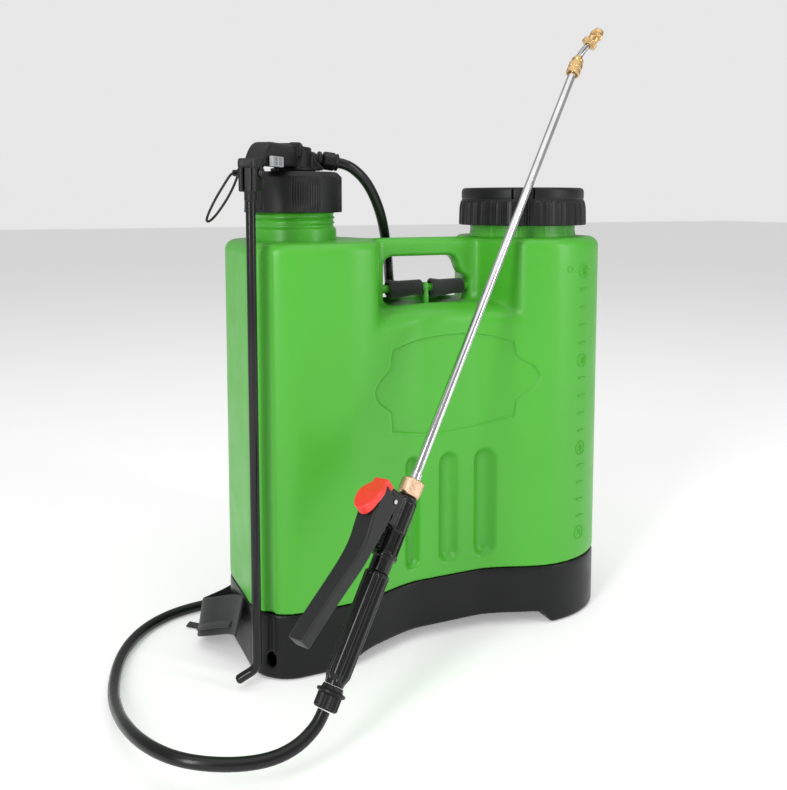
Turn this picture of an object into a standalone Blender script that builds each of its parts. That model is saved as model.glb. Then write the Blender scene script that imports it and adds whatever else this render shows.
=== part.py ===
"""Backpack (knapsack) sprayer: moulded tank on a plastic base, lever-driven pump, hose, trigger gun and lance.

Metres, +Z up. The tank's front face looks towards -Y, the pump stands on the -X column and the wearer's
back is on the +Y side. Lengths below are written in the tank's own frame: X and Y from the tank's middle,
Z from the floor. SHIFT moves the finished assembly so that its footprint is centred on the origin.
"""
import math

import bmesh
import bpy
from mathutils import Matrix, Vector

for old in list(bpy.data.objects):
    bpy.data.objects.remove(old, do_unlink=True)

MM = 0.001
GAP = 0.3 * MM
TAU = 2.0 * math.pi
SHIFT = Vector((10.4 * MM, 68.12 * MM, 0.0))

# tank plan
X_LEFT = -207.0 * MM
X_RIGHT = 209.0 * MM
Y_FRONT = -87.2 * MM
Y_REAR = 87.5 * MM
X_MID = 5.0 * MM
Z_BASE_TOP = 66.0 * MM
Z_TANK_TOP = 424.5 * MM
Z_SADDLE = 356.5 * MM
WALL = 3.0 * MM

# pump and filler
PUMP = Vector((-143.0 * MM, 0.0, 0.0))
FILL = Vector((131.5 * MM, 0.0, 0.0))
ROD = Vector((-210.5 * MM, -84.0 * MM, 0.0))
Z_PIN = 489.6 * MM

# lance line and trigger side
LANCE_FOOT = Vector((-83.6 * MM, -164.7 * MM, 211.1 * MM))
LANCE_HEAD = Vector((185.4 * MM, -19.0 * MM, 610.0 * MM))
W = (LANCE_HEAD - LANCE_FOOT).normalized()
LANCE_LENGTH = (LANCE_HEAD - LANCE_FOOT).length
V = Vector((-0.752, -0.2415, 0.6138))
V = (V - W * V.dot(W)).normalized()
T = W.cross(V).normalized()
ARM = (ROD - PUMP).normalized()
PINDIR = Vector((-ARM.y, ARM.x, 0.0))


def material(name, colour, rough, metal):
    mat = bpy.data.materials.new(name)
    mat.use_nodes = True
    bsdf = mat.node_tree.nodes["Principled BSDF"]
    bsdf.inputs["Base Color"].default_value = (colour[0], colour[1], colour[2], 1.0)
    bsdf.inputs["Roughness"].default_value = rough
    bsdf.inputs["Metallic"].default_value = metal
    return mat


def make(name, verts, faces, look, pivot=None):
    """One closed mesh from world points, its origin at pivot."""
    centre = Vector(pivot) if pivot is not None else Vector((0.0, 0.0, 0.0))
    mesh = bpy.data.meshes.new(name)
    mesh.from_pydata([tuple(Vector(v) - centre) for v in verts], [], faces)
    mesh.validate()
    bm = bmesh.new()
    bm.from_mesh(mesh)
    bmesh.ops.recalc_face_normals(bm, faces=bm.faces)
    bm.to_mesh(mesh)
    bm.free()
    obj = bpy.data.objects.new(name, mesh)
    bpy.context.scene.collection.objects.link(obj)
    obj.location = centre + SHIFT
    mesh.materials.append(material(name + "_look", look[0], look[1], look[2]))
    return obj


def frame(origin, zdir, xdir=None):
    """A 4x4 frame with +Z along zdir and +X near xdir."""
    z = Vector(zdir).normalized()
    x = Vector(xdir) if xdir is not None else Vector((1.0, 0.0, 0.0))
    if abs(x.normalized().dot(z)) > 0.95:
        x = Vector((0.0, 1.0, 0.0))
    x = (x - z * x.dot(z)).normalized()
    y = z.cross(x)
    rot = Matrix((x, y, z)).transposed().to_4x4()
    return Matrix.Translation(Vector(origin)) @ rot


def lathe_data(profile, at, segs):
    """Closed solid of revolution; profile runs from the bottom outside up and back, or closes on the axis."""
    verts = []
    rows = []
    for r, z in profile:
        if r < 1e-7:
            rows.append([len(verts)])
            verts.append(at @ Vector((0.0, 0.0, z)))
            continue
        row = []
        for i in range(segs):
            a = TAU * i / segs
            row.append(len(verts))
            verts.append(at @ Vector((r * math.cos(a), r * math.sin(a), z)))
        rows.append(row)
    faces = []
    closed = len(rows[0]) > 1
    pairs = list(zip(rows[:-1], rows[1:]))
    if closed:
        pairs.append((rows[-1], rows[0]))
    for lo, hi in pairs:
        for i in range(segs):
            j = (i + 1) % segs
            if len(lo) == 1 and len(hi) == 1:
                continue
            if len(lo) == 1:
                faces.append((lo[0], hi[j], hi[i]))
            elif len(hi) == 1:
                faces.append((lo[i], lo[j], hi[0]))
            else:
                faces.append((lo[i], lo[j], hi[j], hi[i]))
    return verts, faces


def lathe(name, profile, at, look, segs=24, pivot=None):
    verts, faces = lathe_data(profile, at, segs)
    return make(name, verts, faces, look, pivot)


def rod_profile(radius, z0, z1, chamfer=0.0):
    """Solid round bar from z0 up to z1."""
    if chamfer <= 0.0:
        return [(0.0, z0), (radius, z0), (radius, z1), (0.0, z1)]
    return [
        (0.0, z0), (radius - chamfer, z0), (radius, z0 + chamfer),
        (radius, z1 - chamfer), (radius - chamfer, z1), (0.0, z1),
    ]


def tube_profile(outer, inner, z0, z1):
    """Open tube between two radii."""
    return [(outer, z0), (outer, z1), (inner, z1), (inner, z0)]


def loft_data(rings):
    """Skin between equal rings of points, capped at both ends; rings turn anticlockwise seen from the last."""
    n = len(rings[0])
    verts = [p for ring in rings for p in ring]
    faces = []
    for k in range(len(rings) - 1):
        for i in range(n):
            j = (i + 1) % n
            faces.append((k * n + i, k * n + j, (k + 1) * n + j, (k + 1) * n + i))
    faces.append(tuple(range(n - 1, -1, -1)))
    top = (len(rings) - 1) * n
    faces.append(tuple(range(top, top + n)))
    return verts, faces


def loft(name, rings, look, pivot=None):
    verts, faces = loft_data(rings)
    return make(name, verts, faces, look, pivot)


def block(name, size, at, look, pivot=None, bevel=0.0):
    """Box of the given size centred on frame at, with its four long edges cut back by bevel."""
    sx, sy, sz = size[0] / 2.0, size[1] / 2.0, size[2] / 2.0
    b = bevel
    if b > 0.0:
        plan = [
            (-sx + b, -sy), (sx - b, -sy), (sx, -sy + b), (sx, sy - b),
            (sx - b, sy), (-sx + b, sy), (-sx, sy - b), (-sx, -sy + b),
        ]
    else:
        plan = [(-sx, -sy), (sx, -sy), (sx, sy), (-sx, sy)]
    rings = [[at @ Vector((x, y, z)) for x, y in plan] for z in (-sz, sz)]
    return loft(name, rings, look, pivot)


def smooth_path(points, steps):
    """Catmull-Rom curve through the points."""
    pts = [Vector(p) for p in points]
    ext = [pts[0] * 2.0 - pts[1]] + pts + [pts[-1] * 2.0 - pts[-2]]
    out = []
    for k in range(1, len(ext) - 2):
        a, b, c, d = ext[k - 1], ext[k], ext[k + 1], ext[k + 2]
        for i in range(steps):
            t = i / steps
            out.append(0.5 * ((2.0 * b) + (c - a) * t + (2.0 * a - 5.0 * b + 4.0 * c - d) * t * t
                              + (3.0 * b - a - 3.0 * c + d) * t ** 3))
    out.append(pts[-1].copy())
    return out


def sweep_rings(path, section, up):
    """Place a closed 2-D section (x across, y along the carried normal) at each point of the path."""
    rings = []
    n = len(path)
    normal = Vector(up)
    for i in range(n):
        a = path[max(i - 1, 0)]
        b = path[min(i + 1, n - 1)]
        d = (b - a).normalized()
        normal = (normal - d * normal.dot(d)).normalized()
        side = normal.cross(d)
        rings.append([path[i] + side * s[0] + normal * s[1] for s in section])
    return rings


def round_section(radius, n):
    return [(radius * math.cos(TAU * i / n), radius * math.sin(TAU * i / n)) for i in range(n)]


def flat_section(width, thick):
    w, t = width / 2.0, thick / 2.0
    return [(-w, -t), (w, -t), (w, t), (-w, t)]


def sweep(name, path, section, up, look, pivot=None):
    return loft(name, sweep_rings(path, section, up), look, pivot)


def hide_cutter(obj):
    obj.hide_render = True
    obj.display_type = "WIRE"
    obj.data.materials.clear()
    return obj


def boolean(target, cutter, operation):
    mod = target.modifiers.new(cutter.name, "BOOLEAN")
    mod.operation = operation
    mod.solver = "EXACT"
    mod.object = cutter
    hide_cutter(cutter)


def smoothstep(t):
    t = max(0.0, min(1.0, t))
    return t * t * (3.0 - 2.0 * t)


GREEN = ((0.10, 0.50, 0.035), 0.38, 0.0)
BLACK = ((0.012, 0.012, 0.013), 0.45, 0.0)
BLACK_GLOSS = ((0.010, 0.010, 0.011), 0.25, 0.0)
GREY = ((0.42, 0.43, 0.44), 0.45, 0.0)
WHITE = ((0.75, 0.76, 0.76), 0.5, 0.0)
RED = ((0.75, 0.045, 0.035), 0.35, 0.0)
STEEL = ((0.60, 0.60, 0.60), 0.18, 1.0)
BRASS = ((0.72, 0.50, 0.28), 0.28, 1.0)
RUBBER = ((0.02, 0.02, 0.02), 0.7, 0.0)
FABRIC = ((0.015, 0.015, 0.017), 0.9, 0.0)


# ---------------------------------------------------------------- tank

def front_y(x, inset=0.0, recess=22.5 * MM):
    """Front face depth at x, with the shallow hollow between the two columns."""
    t = (122.0 * MM - abs(x - X_MID)) / (92.0 * MM)
    return Y_FRONT + inset + recess * smoothstep(t)


def rear_y(x, inset=0.0, recess=24.0 * MM):
    """Rear face depth at x, hollowed for the wearer's back."""
    t = (112.0 * MM - abs(x - X_MID)) / (80.0 * MM)
    return Y_REAR - inset - recess * smoothstep(t)


def plan(inset=0.0, front_recess=22.5 * MM, rear_recess=24.0 * MM):
    """Tank outline seen from above, anticlockwise, drawn in by inset."""
    pts = []
    corners = (
        (X_LEFT, Y_FRONT, 42.0 * MM, 43.0 * MM, 180.0, 270.0, 7),
        (X_RIGHT, Y_FRONT, 84.0 * MM, 64.0 * MM, 270.0, 360.0, 9),
        (X_RIGHT, Y_REAR, 60.0 * MM, 64.0 * MM, 0.0, 90.0, 7),
        (X_LEFT, Y_REAR, 60.0 * MM, 64.0 * MM, 90.0, 180.0, 7),
    )
    arcs = []
    for ex, ey, ax, ay, a0, a1, n in corners:
        cx = ex + math.copysign(ax, -ex)
        cy = ey + math.copysign(ay, -ey)
        arc = []
        for i in range(n):
            a = math.radians(a0 + (a1 - a0) * i / (n - 1))
            arc.append((cx + (ax - inset) * math.cos(a), cy + (ay - inset) * math.sin(a)))
        arcs.append(arc)
    x0, x1 = arcs[0][-1][0], arcs[1][0][0]
    front = []
    for k in range(1, 14):
        x = x0 + (x1 - x0) * k / 14.0
        front.append((x, front_y(x, inset, front_recess)))
    x2, x3 = arcs[2][-1][0], arcs[3][0][0]
    rear = []
    for k in range(1, 14):
        x = x2 + (x3 - x2) * k / 14.0
        rear.append((x, rear_y(x, inset, rear_recess)))
    pts += arcs[0] + front + arcs[1] + arcs[2] + rear + arcs[3]
    return pts


def ring_at(z, inset=0.0, front_recess=22.5 * MM, rear_recess=24.0 * MM):
    return [Vector((x, y, z)) for x, y in plan(inset, front_recess, rear_recess)]


def xz_prism(name, outline, y0, y1):
    """Cutter with an outline in X and Z, pushed along Y; outline given anticlockwise seen from -Y."""
    rings = [[Vector((x, y1, z)) for x, z in outline], [Vector((x, y0, z)) for x, z in outline]]
    return loft(name, rings, GREEN)


def saddle_z(x):
    """Height of the arched floor of the notch at x."""
    return Z_SADDLE - 18.0 * MM * (2.0 * (x - X_MID) / 0.19) ** 2


def notch(name, y_in, y_out, x_in, x_out):
    """Wedge that opens the space over the saddle, its floor arched a little in X."""
    rings = []
    for y, span in ((y_in, x_in), (y_out, x_out)):
        lo, hi = span
        ring = []
        for k in range(7):
            x = lo + (hi - lo) * k / 6.0
            ring.append(Vector((x, y, saddle_z(x))))
        ring.append(Vector((hi, y, Z_TANK_TOP + 20.0 * MM)))
        ring.append(Vector((lo, y, Z_TANK_TOP + 20.0 * MM)))
        rings.append(ring)
    if y_in < y_out:
        rings = [[ring[i] for i in range(len(ring))] for ring in (rings[1], rings[0])]
    return loft(name, rings, GREEN)


def column_ring(side, inset, z):
    """Plan of one column above the saddle, drawn in by inset."""
    full = plan(inset)
    if side < 0:
        keep = [i for i, p in enumerate(plan()) if p[0] < -90.0 * MM]
    else:
        keep = [i for i, p in enumerate(plan()) if p[0] > 101.0 * MM]
    return [Vector((full[i][0], full[i][1], z)) for i in keep]


def sorted_loop(pts):
    c = sum(pts, Vector((0.0, 0.0, 0.0))) / len(pts)
    return sorted(pts, key=lambda p: math.atan2(p.y - c.y, p.x - c.x))


def tank():
    """Blow-moulded tank: two columns, a hollow front and back, a carrying handle and two necks."""
    rings = [
        ring_at(Z_BASE_TOP + GAP, 3.0 * MM), ring_at(Z_BASE_TOP + 3.0 * MM, 0.4 * MM),
        ring_at(80.0 * MM), ring_at(405.0 * MM), ring_at(415.0 * MM, 1.2 * MM),
        ring_at(421.5 * MM, 4.5 * MM), ring_at(Z_TANK_TOP, 10.0 * MM),
    ]
    body = loft("tank", rings, GREEN)
    up = Matrix.Identity(4)
    at_pump = Matrix.Translation(PUMP) @ up
    at_fill = Matrix.Translation(FILL) @ up
    neck_l = lathe("cut_neck_l", [
        (0.0, 0.40), (43.5 * MM, 0.40), (43.5 * MM, 0.4365), (40.5 * MM, 0.4385),
        (40.5 * MM, 0.4415), (42.0 * MM, 0.4430), (42.0 * MM, 0.4445), (40.5 * MM, 0.4460),
        (40.5 * MM, 0.4709), (0.0, 0.4721)], at_pump, GREEN, 40)
    boolean(body, neck_l, "UNION")
    neck_r = lathe("cut_neck_r", [
        (0.0, 0.40), (59.0 * MM, 0.40), (59.0 * MM, 0.4628), (0.0, 0.4642)], at_fill, GREEN, 48)
    boolean(body, neck_r, "UNION")
    front = notch("cut_notch_front", -11.0 * MM, -100.0 * MM, (-56.0 * MM, 66.0 * MM), (-89.0 * MM, 99.0 * MM))
    boolean(body, front, "DIFFERENCE")
    back = notch("cut_notch_rear", 11.0 * MM, 100.0 * MM, (-56.0 * MM, 66.0 * MM), (-80.0 * MM, 90.0 * MM))
    boolean(body, back, "DIFFERENCE")
    floor = [(x * MM, saddle_z(x * MM) - 0.7 * MM) for x in (-41.0, -18.0, 5.0, 31.0, 56.0)]
    hole = xz_prism("cut_grip", [(-46.0 * MM, Z_SADDLE + 1.0 * MM)] + floor + [
        (61.0 * MM, Z_SADDLE), (61.0 * MM, 380.0 * MM), (57.0 * MM, 384.0 * MM),
        (48.0 * MM, 386.0 * MM), (44.0 * MM, 391.0 * MM), (43.0 * MM, 397.0 * MM),
        (40.0 * MM, 402.0 * MM), (35.0 * MM, 404.5 * MM),
        (-37.0 * MM, 404.5 * MM), (-42.0 * MM, 402.0 * MM), (-45.0 * MM, 397.0 * MM)],
        -30.0 * MM, 30.0 * MM)
    boolean(body, hole, "DIFFERENCE")
    bar = lathe("cut_bar", rod_profile(4.5 * MM, -55.0 * MM, 66.0 * MM),
                frame((0.0, -4.0 * MM, 368.5 * MM), (1.0, 0.0, 0.0)), GREEN, 12)
    boolean(body, bar, "UNION")
    post = block("cut_post", (8.0 * MM, 9.0 * MM, 24.0 * MM),
                 Matrix.Translation((6.75 * MM, -4.0 * MM, 363.5 * MM)), GREEN)
    boolean(body, post, "UNION")
    inner = loft("cut_inner", [
        [Vector((x, y, z)) for x, y in plan(WALL + extra, 28.0 * MM, 24.0 * MM)]
        for z, extra in ((Z_BASE_TOP + 3.3 * MM, 3.0 * MM), (74.0 * MM, 0.0), (330.0 * MM, 0.0),
                         (334.0 * MM, 3.0 * MM))], GREEN)
    boolean(body, inner, "DIFFERENCE")
    left = loft("cut_left", [sorted_loop(column_ring(-1, WALL + e, z)) for z, e in (
        (325.0 * MM, 3.0 * MM), (405.0 * MM, 3.0 * MM), (416.0 * MM, 8.0 * MM))], GREEN)
    boolean(body, left, "DIFFERENCE")
    right = loft("cut_right", [sorted_loop(column_ring(1, WALL + e, z)) for z, e in (
        (325.0 * MM, 3.0 * MM), (405.0 * MM, 3.0 * MM), (416.0 * MM, 8.0 * MM))], GREEN)
    boolean(body, right, "DIFFERENCE")
    twist = Matrix.Rotation(math.radians(3.7), 4, "Z")
    bore_l = lathe("cut_bore_l", rod_profile(36.5 * MM, 0.4040, 0.4810), at_pump @ twist, GREEN, 32)
    boolean(body, bore_l, "DIFFERENCE")
    bore_r = lathe("cut_bore_r", rod_profile(55.0 * MM, 0.3320, 0.4760), at_fill @ twist, GREEN, 40)
    boolean(body, bore_r, "DIFFERENCE")
    for k, (x, r) in enumerate(((-37.5 * MM, 8.5 * MM), (5.0 * MM, 11.0 * MM), (48.0 * MM, 12.0 * MM))):
        outline = []
        for i in range(7):
            a = math.pi * i / 6.0
            outline.append((x + r * math.cos(a), 200.0 * MM - r + r * math.sin(a)))
        for i in range(7):
            a = math.pi + math.pi * i / 6.0
            outline.append((x + r * math.cos(a), 81.0 * MM + r + r * math.sin(a)))
        y_cut = front_y(x) + 4.0 * MM
        groove = xz_prism("cut_groove_%d" % k, outline, -95.0 * MM, y_cut)
        boolean(body, groove, "DIFFERENCE")
    return body


def base():
    """Black plastic base with two feet, an arched middle and the lever's pivot hole in its front corner."""
    rings = [
        ring_at(0.0, 4.0 * MM), ring_at(2.0 * MM, 1.2 * MM), ring_at(6.0 * MM, 0.0),
        ring_at(Z_BASE_TOP, 0.0),
    ]
    body = loft("base", rings, BLACK)
    arch = xz_prism("cut_arch", [
        (-119.0 * MM, -5.0 * MM), (123.0 * MM, -5.0 * MM), (123.0 * MM, 0.0), (112.0 * MM, 13.0 * MM),
        (100.0 * MM, 14.5 * MM), (-86.0 * MM, 14.5 * MM), (-100.0 * MM, 12.0 * MM),
        (-114.0 * MM, 5.0 * MM), (-119.0 * MM, 0.0)], -120.0 * MM, 120.0 * MM)
    boolean(body, arch, "DIFFERENCE")
    pocket = loft("cut_pocket", [
        [Vector((x, y, z)) for x, y in plan(6.0 * MM, 22.5 * MM, 24.0 * MM)]
        for z in (9.0 * MM, 61.0 * MM)], BLACK)
    boolean(body, pocket, "DIFFERENCE")
    hole = lathe("cut_pivot", rod_profile(7.0 * MM, -222.0 * MM, -170.0 * MM),
                 frame((0.0, -64.0 * MM, 20.0 * MM), (1.0, 0.0, 0.0)), BLACK, 16)
    boolean(body, hole, "DIFFERENCE")
    return body


def pump_parts():
    """Everything under and over the left neck."""
    at = Matrix.Translation(PUMP)
    lathe("pump_cylinder", [
        (30.0 * MM, 0.105), (30.0 * MM, 0.4722), (42.3 * MM, 0.4723), (42.3 * MM, 0.4737),
        (26.5 * MM, 0.4737), (26.5 * MM, 0.105)], at, WHITE, 32)
    lathe("foot_valve_seat", [
        (26.1 * MM, 0.106), (26.1 * MM, 0.116), (6.0 * MM, 0.116), (4.0 * MM, 0.106)], at, GREY, 24)
    lathe("foot_valve_ball", [
        (0.0, 0.1162), (4.0 * MM, 0.1179), (5.8 * MM, 0.1222), (4.0 * MM, 0.1262), (0.0, 0.1280)], at, STEEL, 12)
    lathe("pump_cap", [
        (49.8 * MM, 0.4525), (49.8 * MM, 0.4880), (45.0 * MM, 0.4930), (24.0 * MM, 0.4930),
        (24.0 * MM, 0.4760), (24.0 * MM, 0.4741), (43.2 * MM, 0.4741), (43.2 * MM, 0.4525)],
        at, BLACK, 48, PUMP + Vector((0.0, 0.0, 0.47)))
    lathe("air_chamber", [
        (0.0, 0.4936), (21.5 * MM, 0.4936), (21.5 * MM, 0.160), (19.0 * MM, 0.160),
        (19.0 * MM, 0.4910), (0.0, 0.4910)][::-1], at, WHITE, 28)
    lathe("dip_tube", tube_profile(4.0 * MM, 2.8 * MM, 0.172, 0.4906), at, WHITE, 12)
    lathe("piston", [
        (22.5 * MM, 0.1500), (22.5 * MM, 0.1597), (5.0 * MM, 0.1597), (5.0 * MM, 0.1500)], at, WHITE, 24)
    lathe("piston_cup", [
        (24.5 * MM, 0.1380), (26.2 * MM, 0.1400), (26.2 * MM, 0.1497), (6.0 * MM, 0.1497),
        (6.0 * MM, 0.1380)], at, RUBBER, 28)


def head_parts():
    """Moving pump head with its arm, clevis, pin, keeper, drive rod and hose outlet."""
    at = Matrix.Translation(PUMP)
    hub = lathe("pump_head", rod_profile(19.0 * MM, 0.4939, 0.5205, 2.0 * MM), at, BLACK, 28,
                PUMP + Vector((0.0, 0.0, 0.494)))
    arm_len = (ROD - PUMP).length
    up = Vector((0.0, 0.0, 1.0))

    def arm_ring(dist, half, z0, z1):
        c = PUMP + ARM * dist
        return [c - PINDIR * half + up * z0, c + PINDIR * half + up * z0,
                c + PINDIR * half + up * z1, c - PINDIR * half + up * z1]

    rings = [
        arm_ring(4.0 * MM, 12.0 * MM, 0.4975, 0.5195), arm_ring(60.0 * MM, 12.0 * MM, 0.4975, 0.5195),
        arm_ring(arm_len - 18.0 * MM, 11.0 * MM, 0.4955, 0.5150),
        arm_ring(arm_len - 4.0 * MM, 9.0 * MM, 0.4965, 0.5040),
        arm_ring(arm_len + 7.0 * MM, 8.6 * MM, 0.4965, 0.5000)]
    arm = loft("cut_arm", rings, BLACK, PUMP)
    boolean(hub, arm, "UNION")
    for k, s in ((0, -1.0), (1, 1.0)):
        centre = ROD + PINDIR * (s * 6.5 * MM) + up * 0.4840
        ear = block("cut_ear_%d" % k, (4.0 * MM, 15.0 * MM, 28.0 * MM),
                    frame(centre, up, PINDIR), BLACK, PUMP)
        boolean(hub, ear, "UNION")
    bore = lathe("cut_ear_bore", rod_profile(3.25 * MM, -14.0 * MM, 14.0 * MM),
                 frame(ROD + up * Z_PIN, PINDIR), BLACK, 16, PUMP)
    boolean(hub, bore, "DIFFERENCE")
    pin = lathe("clevis_pin", [
        (0.0, -16.5 * MM), (3.0 * MM, -16.5 * MM), (3.0 * MM, 8.9 * MM), (4.6 * MM, 8.9 * MM),
        (4.6 * MM, 11.5 * MM), (0.0, 11.5 * MM)], frame(ROD + up * Z_PIN, PINDIR), BLACK_GLOSS, 16)
    cross = lathe("cut_pin_cross", rod_profile(1.6 * MM, -5.0 * MM, 5.0 * MM),
                  frame(ROD - PINDIR * 13.5 * MM + up * Z_PIN, ARM), BLACK, 12)
    boolean(pin, cross, "DIFFERENCE")
    outlet_dir = Vector((0.93, -0.10, -0.13)).normalized()
    start = PUMP + outlet_dir * (20.5 * MM) + up * 0.5100
    lathe("outlet_elbow", [
        (0.0, 0.0), (7.0 * MM, 0.0), (6.0 * MM, 8.0 * MM), (6.0 * MM, 10.5 * MM), (0.0, 10.5 * MM)],
        frame(start, outlet_dir), BLACK, 16)
    lathe("outlet_nut", tube_profile(10.0 * MM, 5.8 * MM, 10.8 * MM, 26.8 * MM),
          frame(start, outlet_dir), BLACK, 20, start + outlet_dir * 18.8 * MM)
    spot = PUMP + ARM * 77.0 * MM + PINDIR * 14.0 * MM + up * 0.5008
    block("head_insert", (27.0 * MM, 3.0 * MM, 9.5 * MM), frame(spot, up, ARM), GREY)


def drive_rod():
    """Pump rod outside the tank's front-left corner, hooked at the foot for the hand lever."""
    up = Vector((0.0, 0.0, 1.0))
    top = ROD + up * 0.4780
    path = [
        top, ROD + up * 0.0300, ROD + Vector((-0.6 * MM, 0.2 * MM, 0.0235)),
        ROD + Vector((-3.0 * MM, 0.9 * MM, 0.0185)), ROD + Vector((-7.0 * MM, 2.2 * MM, 0.0155)),
        ROD + Vector((-18.0 * MM, 5.6 * MM, 0.0090))]
    bar = sweep("drive_rod", path, round_section(4.5 * MM, 14), PINDIR, BLACK_GLOSS,
                ROD + up * Z_PIN)
    eye = block("cut_eye", (8.2 * MM, 11.0 * MM, 22.6 * MM),
                frame(ROD + up * (Z_PIN - 6.2 * MM), up, PINDIR), BLACK_GLOSS, ROD)
    boolean(bar, eye, "UNION")
    bore = lathe("cut_eye_bore", rod_profile(3.06 * MM, -9.0 * MM, 9.0 * MM),
                 frame(ROD + up * Z_PIN, PINDIR), BLACK_GLOSS, 16, ROD)
    boolean(bar, bore, "DIFFERENCE")


def keeper_loop():
    """Wire loop threaded through the cross hole at the outer end of the clevis pin."""
    c = ROD - PINDIR * 13.5 * MM + Vector((0.0, 0.0, Z_PIN))
    out = -PINDIR
    up = Vector((0.0, 0.0, 1.0))
    leg = (
        (4.0, 0.0, 0.0), (8.0, 2.5, -2.5), (11.0, 8.0, -12.0), (12.0, 15.5, -24.0),
        (9.0, 24.0, -37.0), (3.5, 28.5, -43.5),
    )
    shape = [(0.0, 0.0, 0.0)] + list(leg) + [(-x, y, z) for x, y, z in reversed(leg)]
    pts = [c + ARM * (x * MM) + out * (y * MM) + up * (z * MM) for x, y, z in shape]
    open_loop = smooth_path([pts[-1]] + pts + [pts[0], pts[1]], 3)
    loop = open_loop[3:-4]
    n = len(loop)
    verts = []
    faces = []
    segs = 6
    nrm = (out * 0.83 + up * 0.56).normalized()
    for i in range(n):
        d = (loop[(i + 1) % n] - loop[i - 1]).normalized()
        side = d.cross(nrm).normalized()
        flat = side.cross(d).normalized()
        for k in range(segs):
            a = TAU * k / segs
            verts.append(loop[i] + (flat * math.cos(a) + side * math.sin(a)) * 1.15 * MM)
    for i in range(n):
        for k in range(segs):
            a0 = i * segs + k
            a1 = i * segs + (k + 1) % segs
            b0 = ((i + 1) % n) * segs + k
            b1 = ((i + 1) % n) * segs + (k + 1) % segs
            faces.append((a0, a1, b1, b0))
    make("keeper_loop", verts, faces, BLACK, c)


def filler_parts():
    """Wide filler neck's strainer, gasket and cap."""
    at = Matrix.Translation(FILL)
    lathe("strainer", [
        (52.3 * MM, 0.3950), (53.5 * MM, 0.3950), (54.2 * MM, 0.4643), (58.0 * MM, 0.4643),
        (58.0 * MM, 0.4657), (53.0 * MM, 0.4657), (52.3 * MM, 0.3962), (0.0, 0.3962), (0.0, 0.3950)][:7]
        + [(0.0, 0.3962), (0.0, 0.3950)], at, WHITE, 36)
    lathe("filler_gasket", tube_profile(58.0 * MM, 50.0 * MM, 0.4660, 0.4676), at, RUBBER, 36)
    lathe("filler_cap", [
        (72.2 * MM, 0.4370), (71.0 * MM, 0.4640), (69.3 * MM, 0.4665), (69.3 * MM, 0.4760),
        (66.0 * MM, 0.4785), (62.5 * MM, 0.4785), (61.0 * MM, 0.4720), (0.0, 0.4720), (0.0, 0.4679),
        (60.0 * MM, 0.4679), (61.0 * MM, 0.4370)], at, BLACK, 56, FILL + Vector((0.0, 0.0, 0.45)))
    lathe("breather_valve", rod_profile(7.0 * MM, 0.4723, 0.4765, 1.0 * MM), at, RUBBER, 16)


# ---------------------------------------------------------------- gun and lance

GUN = frame(LANCE_FOOT, W, V)


def gun_point(s, v, t=0.0):
    return LANCE_FOOT + W * s + V * v + T * t


def gun_parts():
    """Trigger gun below the lance."""
    body = lathe("gun_body", [
        (0.0, -87.2 * MM), (9.5 * MM, -87.2 * MM), (9.5 * MM, -74.3 * MM), (11.6 * MM, -74.0 * MM),
        (11.6 * MM, -70.0 * MM), (9.0 * MM, -69.7 * MM), (8.0 * MM, -66.0 * MM), (8.0 * MM, -50.0 * MM),
        (9.8 * MM, -48.0 * MM), (9.8 * MM, -22.0 * MM), (8.5 * MM, -19.0 * MM), (8.5 * MM, -16.8 * MM),
        (0.0, -16.8 * MM)], GUN, BLACK_GLOSS, 24, LANCE_FOOT)
    bracket = block("cut_bracket", (25.0 * MM, 13.0 * MM, 29.0 * MM),
                    GUN @ Matrix.Translation((17.5 * MM, 0.0, -33.5 * MM)), BLACK, LANCE_FOOT)
    boolean(body, bracket, "UNION")
    bore = lathe("cut_gun_bore", rod_profile(2.05 * MM, -9.0 * MM, 9.0 * MM),
                 frame(gun_point(-30.0 * MM, 24.0 * MM), T), BLACK, 12, LANCE_FOOT)
    boolean(body, bore, "DIFFERENCE")
    lathe("grip_sleeve", [
        (0.0, -184.0 * MM), (8.0 * MM, -184.0 * MM), (10.6 * MM, -176.0 * MM),
        (11.0 * MM, -92.0 * MM), (10.0 * MM, -87.5 * MM), (0.0, -87.5 * MM)], GUN, BLACK, 28, LANCE_FOOT)
    lathe("gun_hose_nut", [
        (10.2 * MM, -203.5 * MM), (10.2 * MM, -191.0 * MM), (12.6 * MM, -190.5 * MM),
        (12.6 * MM, -188.6 * MM), (9.6 * MM, -188.0 * MM), (8.8 * MM, -184.3 * MM), (4.0 * MM, -184.3 * MM),
        (4.0 * MM, -197.0 * MM), (6.2 * MM, -197.0 * MM), (6.2 * MM, -203.5 * MM)], GUN, BLACK, 24,
        gun_point(-190.0 * MM, 0.0))
    lathe("trigger_pin", rod_profile(2.0 * MM, -12.6 * MM, 12.6 * MM),
          frame(gun_point(-30.0 * MM, 24.0 * MM), T), STEEL, 12)


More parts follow.
